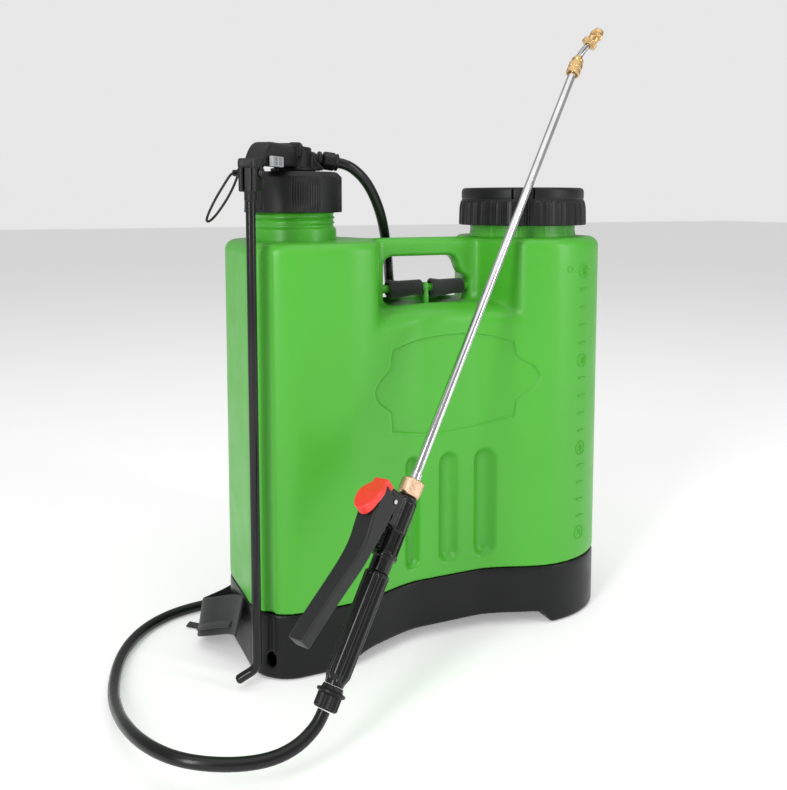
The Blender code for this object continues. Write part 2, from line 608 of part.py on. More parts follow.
def trigger():
    """Long pressed lever, a channel open towards the grip, swinging on its pin."""
    pivot = gun_point(-30.0 * MM, 24.0 * MM)
    line = ((-22.0, 36.4), (-35.0, 41.0), (-46.0, 41.8), (-70.0, 39.2), (-82.0, 39.4), (-96.0, 42.6),
            (-110.0, 46.6), (-138.0, 54.6), (-165.0, 61.5))
    rings = []
    half = 11.0 * MM
    wall = 1.8 * MM
    for i, (s, v) in enumerate(line):
        a = line[max(i - 1, 0)]
        b = line[min(i + 1, len(line) - 1)]
        ds, dv = b[0] - a[0], b[1] - a[1]
        ln = math.hypot(ds, dv)
        ins, inv = -(-dv / ln), -(ds / ln) * -1.0
        if inv > 0:
            ins, inv = -ins, -inv
        depth = 22.0 * MM if -60.0 < s < -10.0 else 13.0 * MM

        def spot(d, t):
            return gun_point(s * MM + ins * d, v * MM + inv * d, t)

        rings.append([
            spot(0.0, -half), spot(0.0, half), spot(depth, half), spot(depth, half - wall),
            spot(wall, half - wall), spot(wall, -half + wall), spot(depth, -half + wall), spot(depth, -half)])
    lever = loft("trigger", rings, BLACK, pivot)
    bore = lathe("cut_lever_bore", rod_profile(2.12 * MM, -14.0 * MM, 14.0 * MM),
                 frame(pivot, T), BLACK, 12, pivot)
    boolean(lever, bore, "DIFFERENCE")


def red_lock():
    """Red thumb lock over the lever's upper end."""
    n = 20
    tilt = math.radians(20.0)
    up_dir = (W * math.cos(tilt) - V * math.sin(tilt)).normalized()
    out_dir = (V * math.cos(tilt) + W * math.sin(tilt)).normalized()
    c = gun_point(-34.5 * MM, 41.2 * MM)
    rings = []
    for h, k in ((0.4, 0.86), (2.0, 1.0), (4.5, 1.0), (6.2, 0.80)):
        ring = []
        for i in range(n):
            a = TAU * i / n
            ring.append(c + out_dir * (h * MM) + T * (math.cos(a) * 13.0 * MM * k)
                        - up_dir * (math.sin(a) * 17.5 * MM * k))
        rings.append(ring)
    return rings, c, up_dir, out_dir


def lock_part():
    rings, c, up_dir, out_dir = red_lock()
    loft("red_lock", rings, RED, gun_point(-30.0 * MM, 24.0 * MM))


def valve_stem():
    lathe("valve_stem", [
        (0.0, -66.0 * MM), (2.6 * MM, -66.0 * MM), (2.6 * MM, -57.0 * MM), (4.2 * MM, -56.5 * MM),
        (4.2 * MM, -52.0 * MM), (2.6 * MM, -51.5 * MM), (2.6 * MM, -48.6 * MM), (0.0, -48.6 * MM)],
        GUN @ Matrix.Translation((15.5 * MM, 0.0, 0.0)), STEEL, 12, gun_point(-57.0 * MM, 15.5 * MM))


def lance_parts():
    """Lance tube, its nuts, the bent tip and the adjustable nozzle."""
    lathe("lance_nut", [
        (8.0 * MM, -16.5 * MM), (10.6 * MM, -13.5 * MM), (10.6 * MM, -1.5 * MM), (9.0 * MM, -GAP),
        (4.9 * MM, -GAP), (4.9 * MM, -16.5 * MM)], GUN, BRASS, 28, LANCE_FOOT)
    lathe("lance_ferrule", tube_profile(6.2 * MM, 4.8 * MM, 0.0, 6.5 * MM), GUN, BRASS, 20, LANCE_FOOT)
    lathe("lance_tube", tube_profile(4.5 * MM, 3.6 * MM, -16.0 * MM, LANCE_LENGTH), GUN, STEEL, 24, LANCE_FOOT)
    top = LANCE_LENGTH
    lathe("lance_connector", [
        (7.6 * MM, top - 4.0 * MM), (7.6 * MM, top + 12.0 * MM), (6.6 * MM, top + 16.0 * MM),
        (4.6 * MM, top + 22.0 * MM), (3.9 * MM, top + 22.0 * MM), (3.9 * MM, top + GAP),
        (4.8 * MM, top + GAP), (4.8 * MM, top - 4.0 * MM)], GUN, BRASS, 24, LANCE_HEAD)


NOZ_BASE = LANCE_HEAD + W * 10.0 * MM
NOZ_KNEE = LANCE_HEAD + W * 27.0 * MM
NOZ_DIR = Vector((0.6150, -0.2060, 0.7610)).normalized()


def nozzle_parts():
    turn = []
    for i in range(7):
        t = i / 6.0
        a = NOZ_KNEE - W * 6.0 * MM
        b = NOZ_KNEE
        c = NOZ_KNEE + NOZ_DIR * 6.0 * MM
        turn.append(a * (1 - t) ** 2 + b * (2 * t * (1 - t)) + c * t ** 2)
    path = [LANCE_HEAD + W * 1.0 * MM, LANCE_HEAD + W * 12.0 * MM] + turn + [NOZ_KNEE + NOZ_DIR * 19.0 * MM]
    sweep("nozzle_elbow", path, round_section(3.5 * MM, 12), T, STEEL, LANCE_HEAD)
    tip = frame(NOZ_KNEE + NOZ_DIR * 14.0 * MM, NOZ_DIR)
    lathe("nozzle_collar", tube_profile(8.6 * MM, 3.85 * MM, 0.0, 6.0 * MM), tip, BRASS, 24)
    lathe("nozzle_body", [
        (6.2 * MM, 6.3 * MM), (6.2 * MM, 12.0 * MM), (7.4 * MM, 12.6 * MM), (7.4 * MM, 17.0 * MM),
        (4.6 * MM, 23.0 * MM), (1.0 * MM, 23.0 * MM), (1.0 * MM, 8.0 * MM), (3.85 * MM, 6.3 * MM)],
        tip, BRASS, 24, NOZ_KNEE + NOZ_DIR * 20.0 * MM)


# ---------------------------------------------------------------- straps, hose

def strap_loop(name, x0, x1):
    """Webbing turned round the moulded bar inside the handle."""
    at = frame((x0, -4.0 * MM, 368.5 * MM), (1.0, 0.0, 0.0))
    lathe(name, tube_profile(9.2 * MM, 4.9 * MM, 0.0, x1 - x0), at, FABRIC, 20)


def straps():
    strap_loop("strap_loop_l", -41.5 * MM, 1.5 * MM)
    strap_loop("strap_loop_r", 12.5 * MM, 55.0 * MM)
    for tag, sign, x_top in (("l", -1.0, -21.0 * MM), ("r", 1.0, 34.0 * MM)):
        cx = X_MID
        top = [
            (x_top, 7.5 * MM, 372.0 * MM), (x_top, 22.0 * MM, 368.0 * MM),
            (x_top + sign * 4.0 * MM, 50.0 * MM, 366.0 * MM),
            (x_top + sign * 8.0 * MM, 74.0 * MM, 362.0 * MM),
            (x_top + sign * 12.0 * MM, 88.0 * MM, 346.0 * MM),
            (x_top + sign * 16.0 * MM, 94.5 * MM, 328.0 * MM)]
        sweep("strap_top_" + tag, smooth_path(top, 3), flat_section(38.0 * MM, 1.8 * MM),
              (0.0, 0.0, 1.0), FABRIC)
        xa = top[-1][0]
        pad = [
            (xa, 96.2 * MM, 321.0 * MM), (xa + sign * 8.0 * MM, 96.6 * MM, 290.0 * MM),
            (xa + sign * 30.0 * MM, 97.0 * MM, 240.0 * MM), (xa + sign * 46.0 * MM, 97.0 * MM, 180.0 * MM),
            (xa + sign * 56.0 * MM, 97.0 * MM, 130.0 * MM)]
        sweep("shoulder_pad_" + tag, smooth_path(pad, 2), flat_section(48.0 * MM, 9.0 * MM),
              (0.0, 1.0, 0.0), FABRIC)
        xb = pad[-1][0]
        low = [
            (xb + sign * 1.0 * MM, 97.0 * MM, 125.5 * MM), (xb + sign * 5.0 * MM, 96.0 * MM, 108.0 * MM),
            (xb + sign * 18.0 * MM, 93.5 * MM, 84.0 * MM), (xb + sign * 30.0 * MM, 91.2 * MM, 66.0 * MM),
            (xb + sign * 40.0 * MM, 90.5 * MM, 50.0 * MM)]
        sweep("strap_low_" + tag, smooth_path(low, 3), flat_section(30.0 * MM, 1.8 * MM),
              (0.0, 1.0, 0.0), FABRIC)


def strap_bundle():
    """Spare waist webbing standing on edge: out behind the base's left corner, folded back along its side."""
    fold = [
        (-184.0, 79.5, 20.4), (-199.0, 66.0, 20.4), (-213.0, 56.0, 20.8), (-228.0, 47.0, 21.5),
        (-238.0, 36.0, 24.5), (-240.0, 25.0, 28.5), (-235.5, 13.0, 33.5), (-227.5, 0.0, 39.0),
        (-221.0, -13.0, 44.5), (-216.5, -25.0, 48.5), (-214.5, -36.0, 51.0)]
    path = smooth_path([(x * MM, y * MM, z * MM) for x, y, z in fold], 3)
    sweep("strap_bundle", path, flat_section(2.4 * MM, 40.0 * MM), (0.0, 0.0, 1.0), FABRIC)


def hose():
    """Delivery hose from the pump head down the back and round to the gun."""
    route = HOSE_ROUTE
    pts = smooth_path([Vector((x * MM, y * MM, z * MM)) for x, y, z in route], 3)
    curve = bpy.data.curves.new("hose", "CURVE")
    curve.dimensions = "3D"
    spline = curve.splines.new("POLY")
    spline.points.add(len(pts) - 1)
    for p, q in zip(spline.points, pts):
        p.co = (q.x + SHIFT.x, q.y + SHIFT.y, q.z + SHIFT.z, 1.0)
    curve.bevel_depth = 5.5 * MM
    curve.bevel_resolution = 2
    curve.use_fill_caps = True
    obj = bpy.data.objects.new("hose", curve)
    bpy.context.scene.collection.objects.link(obj)
    curve.materials.append(material("hose_look", RUBBER[0], 0.3, 0.0))


HOSE_ROUTE = (
    (-95.9, -5.1, 503.3), (-86.8, -6.0, 501.2), (-78.0, -5.8, 497.2), (-63.5, -2.5, 486.0),
    (-50.0, 5.0, 467.5), (-37.0, 16.0, 445.0), (-27.0, 30.0, 422.0), (-15.5, 49.0, 399.0),
    (-5.0, 71.0, 380.0), (4.0, 84.0, 345.0), (2.0, 78.0, 300.0), (-4.0, 75.0, 240.0),
    (-12.0, 76.0, 180.0), (-24.0, 78.0, 120.0), (-44.0, 84.0, 70.0), (-76.0, 93.0, 36.0),
    (-118.0, 99.0, 20.0), (-160.0, 99.0, 13.0), (-190.0, 99.5, 9.0), (-218.0, 101.5, 6.0),
    (-249.7, 97.0, 5.8), (-279.2, 81.8, 5.8), (-304.0, 55.9, 5.8), (-324.6, 15.1, 5.8),
    (-338.0, -42.8, 8.0), (-341.0, -94.5, 15.0), (-338.0, -142.0, 24.0), (-329.0, -179.5, 29.0),
    (-311.0, -208.5, 29.5), (-287.0, -223.5, 27.5), (-262.0, -232.0, 25.8), (-238.8, -234.7, 25.5),
    (-228.0, -234.2, 26.5), (-215.9, -232.3, 30.1), (-203.0, -228.5, 37.9), (-197.5, -226.2, 43.1),
    (-192.9, -223.9, 49.0),
)


tank()
base()
pump_parts()
head_parts()
drive_rod()
keeper_loop()
filler_parts()
gun_parts()
trigger()
lock_part()
valve_stem()
lance_parts()
nozzle_parts()
straps()
strap_bundle()
hose()
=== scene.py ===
"""Looks of the knapsack sprayer: fine surfaces, soft goods, hose, materials, stage and camera.

Shapes are worked out in the tank's own frame in millimetres (X and Y from the tank's middle, Z from the floor)
and moved to the row frame, in metres, when a mesh is made.
"""

import math

import bmesh
import bpy
import numpy as np
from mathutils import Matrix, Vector


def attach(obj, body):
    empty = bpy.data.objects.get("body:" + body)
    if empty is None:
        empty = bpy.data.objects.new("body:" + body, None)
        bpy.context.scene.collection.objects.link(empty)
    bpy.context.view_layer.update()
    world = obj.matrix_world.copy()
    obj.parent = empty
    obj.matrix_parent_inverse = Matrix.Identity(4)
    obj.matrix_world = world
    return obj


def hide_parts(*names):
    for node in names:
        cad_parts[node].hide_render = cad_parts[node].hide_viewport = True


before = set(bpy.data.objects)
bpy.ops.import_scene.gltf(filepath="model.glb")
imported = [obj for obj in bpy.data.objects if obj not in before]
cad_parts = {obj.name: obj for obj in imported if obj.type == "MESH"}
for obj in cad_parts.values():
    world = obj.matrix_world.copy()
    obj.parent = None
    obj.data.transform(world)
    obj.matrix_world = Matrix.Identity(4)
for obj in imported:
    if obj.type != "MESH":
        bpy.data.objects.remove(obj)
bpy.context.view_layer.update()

SHIFT = np.array((10.4, 68.12, 0.0))
TAU = 2.0 * math.pi


def vec(*c):
    return np.array(c, float)


def unit(v):
    v = np.asarray(v, float)
    return v / np.linalg.norm(v)


# ---------------------------------------------------------------- places in the tank's frame, mm

PUMP = vec(-143.0, 0.0, 0.0)
FILL = vec(131.5, 0.0, 0.0)
ROD = vec(-210.5, -84.0, 0.0)
Z_PIN = 489.6
ARM = unit(ROD - PUMP)
PINDIR = vec(-ARM[1], ARM[0], 0.0)
UP = vec(0.0, 0.0, 1.0)
LANCE_FOOT = vec(-83.6, -164.7, 211.1)
LANCE_HEAD = vec(185.4, -19.0, 610.0)
LANCE = np.linalg.norm(LANCE_HEAD - LANCE_FOOT)
W = unit(LANCE_HEAD - LANCE_FOOT)
V = vec(-0.752, -0.2415, 0.6138)
V = unit(V - W * V.dot(W))
T = unit(np.cross(W, V))
OUT_DIR = unit((0.93, -0.10, -0.13))
OUT_START = PUMP + OUT_DIR * 20.5 + UP * 510.0
NOZ_KNEE = LANCE_HEAD + W * 27.0
NOZ_DIR = unit((0.615, -0.206, 0.761))


# ---------------------------------------------------------------- camera and stage

CAMERA_MM = vec(-427.4, -887.3, 466.0)
CAMERA_TURN, CAMERA_DIP = math.radians(24.107), math.radians(5.27)
LENS_MM, SENSOR_MM, VIEW_SHIFT = 41.168996188, 36.0, -0.143583227
FLOOR_HALF, FLOOR_Z = 14.0, -0.0004
LIGHTS = (  # name, place and aim in m, sides in m, watts
    ("key_left", (-1.7, -1.25, 1.1), (-0.05, 0.05, 0.28), (0.45, 1.7), 27.0),
    ("strip_right", (1.3, -1.45, 0.9), (0.1, 0.05, 0.3), (0.3, 1.5), 12.0),
    ("top_soft", (0.0, -0.4, 2.6), (0.0, 0.0, 0.0), (3.0, 3.0), 26.0))


def linked(obj):
    bpy.context.scene.collection.objects.link(obj)
    return obj


def look_rotation(direction):
    return Vector(direction).to_track_quat("-Z", "Y").to_euler()


def make_camera():
    data = bpy.data.cameras.new("camera")
    cam = linked(bpy.data.objects.new("camera", data))
    cam.location = Vector((CAMERA_MM + SHIFT) * 0.001)
    cam.rotation_euler = look_rotation((
        math.sin(CAMERA_TURN) * math.cos(CAMERA_DIP), math.cos(CAMERA_TURN) * math.cos(CAMERA_DIP),
        -math.sin(CAMERA_DIP)))
    data.sensor_fit = "HORIZONTAL"
    data.sensor_width = SENSOR_MM
    data.lens = LENS_MM
    data.shift_y = VIEW_SHIFT
    data.clip_start = 0.01
    bpy.context.scene.camera = cam


def area_light(name, at, aim, size, power):
    data = bpy.data.lights.new(name, "AREA")
    data.shape = "RECTANGLE"
    data.size, data.size_y = size
    data.energy = power
    lamp = linked(bpy.data.objects.new(name, data))
    lamp.location = at
    lamp.rotation_euler = look_rotation(Vector(aim) - Vector(at))


def make_stage():
    mesh = bpy.data.meshes.new("floor")
    r, z = FLOOR_HALF, FLOOR_Z
    mesh.from_pydata([(-r, -r, z), (r, -r, z), (r, r, z), (-r, r, z)], [], [(0, 1, 2, 3)])
    floor = linked(bpy.data.objects.new("floor", mesh))
    mat, _, bsdf = nodes_of("floor_paint")
    setting(bsdf, Base_Color=(0.90, 0.90, 0.90, 1.0), Roughness=0.8, Specular_IOR_Level=0.1,
            Emission_Color=(1.0, 1.0, 1.0, 1.0), Emission_Strength=0.26)
    mesh.materials.append(mat)
    world = bpy.data.worlds.new("studio")
    world.use_nodes = True
    tree = world.node_tree
    back = setting(tree.nodes["Background"], Color=(1.0, 1.0, 1.0, 1.0), Strength=0.44)
    seen = put(tree, "ShaderNodeBackground", Color=(0.80, 0.80, 0.80, 1.0))
    either = tree.nodes.new("ShaderNodeMixShader")
    ray = tree.nodes.new("ShaderNodeLightPath").outputs["Is Camera Ray"]
    for i, socket in enumerate((ray, back.outputs[0], seen.outputs[0])):
        tree.links.new(socket, either.inputs[i])
    tree.links.new(either.outputs[0], tree.nodes["World Output"].inputs["Surface"])
    bpy.context.scene.world = world
    bpy.context.scene.view_settings.view_transform = "Standard"
    for light in LIGHTS:
        area_light(*light)


# ---------------------------------------------------------------- materials

def nodes_of(name):
    mat = bpy.data.materials.new(name)
    mat.use_nodes = True
    tree = mat.node_tree
    return mat, tree, tree.nodes["Principled BSDF"]


def setting(node, **sockets):
    """Plain values for a node's sockets, underscores standing for spaces."""
    for key, value in sockets.items():
        node.inputs[key.replace("_", " ")].default_value = value
    return node


def put(tree, kind, **sockets):
    return setting(tree.nodes.new(kind), **sockets)


def object_coords(tree):
    return tree.nodes.new("ShaderNodeTexCoord").outputs["Object"]


def noise(tree, coords, scale, detail=3.0):
    node = put(tree, "ShaderNodeTexNoise", Scale=scale, Detail=detail, Roughness=0.5)
    tree.links.new(coords, node.inputs["Vector"])
    return node.outputs["Fac"]


def ramp(tree, fac, low, high, from_min=0.3, from_max=0.7):
    node = put(tree, "ShaderNodeMapRange", From_Min=from_min, From_Max=from_max, To_Min=low, To_Max=high)
    tree.links.new(fac, node.inputs["Value"])
    return node.outputs["Result"]


def mix_colour(tree, fac, a, b):
    """Mix of two colours, each a tuple or another node's output."""
    node = tree.nodes.new("ShaderNodeMix")
    node.data_type = "RGBA"
    for key, side in (("A", a), ("B", b)):
        if isinstance(side, tuple):
            node.inputs[key].default_value = (*side, 1.0)
        else:
            tree.links.new(side, node.inputs[key])
    tree.links.new(fac, node.inputs["Factor"])
    return node.outputs["Result"]


def bump(tree, bsdf, height, strength, distance):
    node = put(tree, "ShaderNodeBump", Strength=strength, Distance=distance)
    tree.links.new(height, node.inputs["Height"])
    tree.links.new(node.outputs["Normal"], bsdf.inputs["Normal"])


def shade(c, k):
    return tuple(min(1.0, v * k) for v in c)


def drift(tree, fac, colour, vary):
    return mix_colour(tree, ramp(tree, fac, 0.0, 1.0), shade(colour, 1.0 - vary), shade(colour, 1.0 + vary))


RUBBED_RGB = (0.16, 0.16, 0.165)


def plastic(name, colour, rough, vary=0.06, grain=900.0, grain_mm=0.02, coat=0.0, specular=0.5, wear=0.0):
    """Moulded plastic: slow colour and gloss drift, a fine moulded grain and lighter rubbed edges."""
    mat, tree, bsdf = nodes_of(name)
    coords = object_coords(tree)
    tint = drift(tree, noise(tree, coords, 9.0), colour, vary)
    if wear > 0.0:
        geo = tree.nodes.new("ShaderNodeNewGeometry")
        tint = mix_colour(tree, ramp(tree, geo.outputs["Pointiness"], 0.0, wear, 0.53, 0.62), tint, RUBBED_RGB)
    tree.links.new(tint, bsdf.inputs["Base Color"])
    gloss = noise(tree, coords, 34.0, 4.0)
    tree.links.new(ramp(tree, gloss, max(0.03, rough - 0.05), rough + 0.05), bsdf.inputs["Roughness"])
    bump(tree, bsdf, noise(tree, coords, grain, 2.0), 0.35, grain_mm * 0.001)
    setting(bsdf, IOR=1.49, Specular_IOR_Level=specular)
    if coat > 0.0:
        setting(bsdf, Coat_Weight=coat, Coat_Roughness=0.12)
    return mat


def metal(name, colour, rough, along):
    """Turned or drawn metal: fine scratches that run along one direction, with slight stains."""
    mat, tree, bsdf = nodes_of(name)
    coords = object_coords(tree)
    mapping = put(tree, "ShaderNodeMapping", Scale=(900.0, 900.0, 14.0),
                  Rotation=Vector(along).to_track_quat("Z", "Y").inverted().to_euler())
    tree.links.new(coords, mapping.inputs["Vector"])
    lines = noise(tree, mapping.outputs["Vector"], 1.0, 2.0)
    tree.links.new(drift(tree, noise(tree, coords, 45.0, 4.0), colour, 0.08), bsdf.inputs["Base Color"])
    tree.links.new(ramp(tree, lines, rough * 0.7, rough * 1.35), bsdf.inputs["Roughness"])
    bump(tree, bsdf, lines, 0.12, 0.00002)
    setting(bsdf, Metallic=1.0)
    return mat


def math_node(tree, op, a, b=None):
    """A maths node's value; a and b are plain numbers or other nodes' outputs."""
    node = tree.nodes.new("ShaderNodeMath")
    node.operation = op
    for i, v in enumerate((a, b)):
        if isinstance(v, float):
            node.inputs[i].default_value = v
        elif v is not None:
            tree.links.new(v, node.inputs[i])
    return node.outputs["Value"]


def woven(name, colour, pitch_mm=1.1):
    """Woven webbing: warp and weft ridges from the piece's own along and across lengths in metres, with painted shade
    in the hollows and a painted highlight on the crests.
    """
    mat, tree, bsdf = nodes_of(name)
    k = TAU / (pitch_mm * 0.001)
    turns = []
    for key, rate in (("along", k), ("across", k * 1.3)):
        node = tree.nodes.new("ShaderNodeAttribute")
        node.attribute_name = key
        turns.append(math_node(tree, "MULTIPLY", node.outputs["Fac"], rate))
    u, w = turns
    diag = math_node(tree, "SINE", math_node(tree, "ADD", math_node(tree, "MULTIPLY", u, 0.5), w))
    weft = math_node(tree, "SINE", u)
    parts = [math_node(tree, "MULTIPLY", wave, share) for wave, share in ((diag, 0.55), (weft, 0.45))]
    height = math_node(tree, "ADD", *parts)
    level = ramp(tree, height, 0.0, 1.0, -1.0, 1.0)
    # painted shade and highlight: the colour darkens in the weave's hollows and lightens on its crests, following the
    # bump height
    tree.links.new(mix_colour(tree, level, shade(colour, 0.55), shade(colour, 1.7)), bsdf.inputs["Base Color"])
    bump(tree, bsdf, level, 0.8, 0.16 * 0.001)
    setting(bsdf, Roughness=0.82, Sheen_Weight=0.25, Sheen_Roughness=0.5)
    return mat


def mesh_cloth(name, colour):
    """Spacer fabric of a pad: a small honeycomb of dimples over the foam, painted darker in the dimples (painted
    shade) and lighter on the rims (painted highlight).
    """
    mat, tree, bsdf = nodes_of(name)
    cells = put(tree, "ShaderNodeTexVoronoi", Scale=1000.0 / 2.2, Randomness=0.15)
    cells.feature = "SMOOTH_F1"
    tree.links.new(object_coords(tree), cells.inputs["Vector"])
    dots = ramp(tree, cells.outputs["Distance"], 0.0, 1.0, 0.1, 0.55)
    # painted shade and highlight: dimples darker, the rims between them lighter, following the bump height
    tree.links.new(mix_colour(tree, dots, shade(colour, 0.5), shade(colour, 1.6)), bsdf.inputs["Base Color"])
    bump(tree, bsdf, dots, 0.7, 0.0003)
    setting(bsdf, Roughness=0.88, Sheen_Weight=0.3, Sheen_Roughness=0.45)
    return mat


GREEN_RGB = (0.066, 0.395, 0.026)
MAT = {
    "green": plastic("green_polyethylene", GREEN_RGB, 0.36, 0.03, 700.0, 0.03),
    "black": plastic("black_plastic", (0.008, 0.008, 0.0085), 0.42, 0.2, 1100.0, 0.03, specular=0.3, wear=0.3),
    "base": plastic("base_plastic", (0.006, 0.006, 0.0066), 0.34, 0.2, 800.0, 0.04, specular=0.26, wear=0.15),
    "lever": plastic("lever_plastic", (0.012, 0.012, 0.013), 0.47, 0.25, 500.0, 0.06, specular=0.4, wear=0.3),
    "gloss": plastic("black_gloss", (0.006, 0.006, 0.0065), 0.2, 0.2, 600.0, 0.012, coat=0.12, specular=0.32,
                     wear=0.2),
    "grey": plastic("grey_plastic", (0.36, 0.37, 0.38), 0.45, 0.06),
    "white": plastic("white_plastic", (0.74, 0.75, 0.74), 0.42, 0.04),
    "red": plastic("red_plastic", (0.82, 0.040, 0.030), 0.33, 0.05, 700.0, 0.02, coat=0.15),
    "steel": metal("polished_steel", (0.66, 0.66, 0.67), 0.13, tuple(W)),
    "dark_steel": metal("tip_steel", (0.42, 0.41, 0.40), 0.22, tuple(NOZ_DIR)),
    "brass": metal("turned_brass", (0.70, 0.47, 0.22), 0.24, tuple(W)),
    "copper": metal("bronze_nut", (0.78, 0.53, 0.36), 0.34, tuple(W)),
    "rubber": plastic("soft_rubber", (0.02, 0.02, 0.021), 0.62, 0.2, 500.0, 0.05),
    "hose": plastic("hose_rubber", (0.007, 0.007, 0.0075), 0.27, 0.25, 260.0, 0.05, coat=0.1, specular=0.32),
    "webbing": woven("black_webbing", (0.010, 0.010, 0.011)),
    "foam": mesh_cloth("pad_mesh_cloth", (0.016, 0.016, 0.018)),
    "binding": woven("edge_binding", (0.014, 0.014, 0.016), 0.8),
    "thread": plastic("stitch_thread", (0.07, 0.07, 0.075), 0.7, 0.2, 900.0, 0.05),
}


# ---------------------------------------------------------------- mesh tools

def finish_mesh(name, verts, faces, look, body, nodes=(), sharp=None, attributes=None):
    """Object from tank-frame points in mm: shaded smooth, riding on a body and standing for CAD nodes."""
    mesh = bpy.data.meshes.new(name)
    points = (np.asarray(verts, float) + SHIFT) * 0.001
    mesh.from_pydata(points.tolist(), [], faces if isinstance(faces, list) else np.asarray(faces).tolist())
    mesh.validate()
    bm = bmesh.new()
    bm.from_mesh(mesh)
    bmesh.ops.recalc_face_normals(bm, faces=bm.faces)
    bm.to_mesh(mesh)
    bm.free()
    mesh.shade_smooth()
    if sharp is not None:
        mesh.set_sharp_from_angle(angle=math.radians(sharp))
    for key, values in (attributes or {}).items():
        layer = mesh.attributes.new(key, "FLOAT", "POINT")
        layer.data.foreach_set("value", np.asarray(values, np.float32))
    obj = linked(bpy.data.objects.new(name, mesh))
    mesh.materials.append(MAT[look])
    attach(obj, body)
    if nodes:
        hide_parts(*nodes)
    return obj


def frame_at(origin, zdir, xdir=(1.0, 0.0, 0.0)):
    """Rows are the local axes, origin in mm."""
    z = unit(zdir)
    x = np.asarray(xdir, float)
    if abs(unit(x).dot(z)) > 0.95:
        x = vec(0.0, 1.0, 0.0)
    x = unit(x - z * x.dot(z))
    return np.asarray(origin, float), np.array((x, np.cross(z, x), z))


def to_world(points, at):
    return at[0] + np.asarray(points) @ at[1]


GUN = frame_at(LANCE_FOOT, W, V)
PUMP_AT, FILL_AT = frame_at(PUMP, UP), frame_at(FILL, UP)
HEAD_AXES = np.array((ARM, PINDIR, UP))


def eased(profile, r):
    """Rounds each corner of a closed profile by up to r."""
    pts = [vec(*p) for p in profile]
    out = []
    n = len(pts)
    for i in range(n):
        a, b, c = pts[i - 1], pts[i], pts[(i + 1) % n]
        if b[0] < 1e-6:
            out.append(b)
            continue
        la, lc = np.linalg.norm(a - b), np.linalg.norm(c - b)
        k = min(r, la * 0.42, lc * 0.42)
        p, q = b + (a - b) / la * k, b + (c - b) / lc * k
        for t in (0.0, 0.33, 0.67, 1.0):
            out.append(p * (1 - t) ** 2 + b * 2 * t * (1 - t) + q * t ** 2)
    return out


def lathe_rows(profile, at, segs, shape=None, extra=0):
    """Rings of a turned piece; shape(angle, radius, height) gives the radii to use, extra splits long steps."""
    prof = []
    n = len(profile)
    for i in range(n):
        a, b = vec(*profile[i]), vec(*profile[(i + 1) % n])
        prof.append(a)
        long_side = np.linalg.norm(b - a)
        if extra and long_side > extra and not (a[0] < 1e-6 and b[0] < 1e-6):
            m = int(long_side / extra)
            for k in range(1, m + 1):
                prof.append(a + (b - a) * k / (m + 1))
    ang = np.arange(segs) * TAU / segs
    verts = []
    rows = []
    for r, z in prof:
        if r < 1e-6:
            rows.append([len(verts)])
            verts.append((0.0, 0.0, z))
            continue
        radii = np.broadcast_to(shape(ang, r, z) if shape else r, segs)
        rows.append(list(range(len(verts), len(verts) + segs)))
        verts.extend(zip(radii * np.cos(ang), radii * np.sin(ang), np.full(segs, z)))
    faces = []
    pairs = list(zip(rows[:-1], rows[1:]))
    if len(rows[0]) > 1 or len(rows[-1]) > 1:
        pairs.append((rows[-1], rows[0]))
    for lo, hi in pairs:
        if len(lo) == 1 and len(hi) == 1:
            continue
        for i in range(segs):
            j = (i + 1) % segs
            if len(lo) == 1:
                faces.append([lo[0], hi[j], hi[i]])
            elif len(hi) == 1:
                faces.append([lo[i], lo[j], hi[0]])
            else:
                faces.append([lo[i], lo[j], hi[j], hi[i]])
    return to_world(np.array(verts), at), faces


def turned(name, profile, at, look, body, nodes=(), segs=72, ease=0.4, shape=None, extra=0, sharp=32):
    verts, faces = lathe_rows(eased(profile, ease), at, segs, shape, extra)
    finish_mesh(name, verts, faces, look, body, nodes, sharp)


def rod_prof(r, z0, z1):
    return [(0.0, z0), (r, z0), (r, z1), (0.0, z1)]


def tube_prof(ro, ri, z0, z1):
    return [(ro, z0), (ro, z1), (ri, z1), (ri, z0)]


def through(points, steps):
    """Catmull-Rom curve through the points."""
    p = np.asarray(points, float)
    e = np.vstack([2 * p[0] - p[1], p, 2 * p[-1] - p[-2]])
    out = []
    for k in range(1, len(e) - 2):
        a, b, c, d = e[k - 1], e[k], e[k + 1], e[k + 2]
        for i in range(steps):
            t = i / steps
            out.append(0.5 * (2 * b + (c - a) * t + (2 * a - 5 * b + 4 * c - d) * t * t
                              + (3 * b - a - 3 * c + d) * t ** 3))
    out.append(p[-1])
    return np.array(out)


def lengths(path):
    """Length run from the start to each point."""
    return np.concatenate([[0.0], np.cumsum(np.linalg.norm(np.diff(path, axis=0), axis=1))])


def even(points, n):
    """The same line with n evenly spaced points."""
    s = lengths(points)
    t = np.linspace(0.0, s[-1], n)
    return np.stack([np.interp(t, s, points[:, i]) for i in range(3)], axis=1)


def relaxed(points, rounds):
    p = points.copy()
    for _ in range(rounds):
        p[1:-1] = p[1:-1] * 0.5 + (p[:-2] + p[2:]) * 0.25
    return p


def soft_line(points, steps, n, rounds):
    return relaxed(even(through(points, steps), n), rounds)


def heading(path, i, closed=False):
    n = len(path)
    if closed:
        return unit(path[(i + 1) % n] - path[i - 1])
    return unit(path[min(i + 1, n - 1)] - path[max(i - 1, 0)])


def squared(normal, d):
    """The part of normal square to the heading d, and the side direction."""
    normal = unit(normal - d * normal.dot(d))
    return normal, np.cross(normal, d)


def tube_faces(rings, sides, closed=False, base=0):
    """Quads between rings of points, with a cap at each end unless the run is closed."""
    faces = []
    for i in range(rings if closed else rings - 1):
        lo, hi = base + i * sides, base + (i + 1) % rings * sides
        for k in range(sides):
            m = (k + 1) % sides
            faces.append([lo + k, lo + m, hi + m, hi + k])
    if not closed:
        faces.append([base + k for k in range(sides - 1, -1, -1)])
        faces.append([base + (rings - 1) * sides + k for k in range(sides)])
    return faces


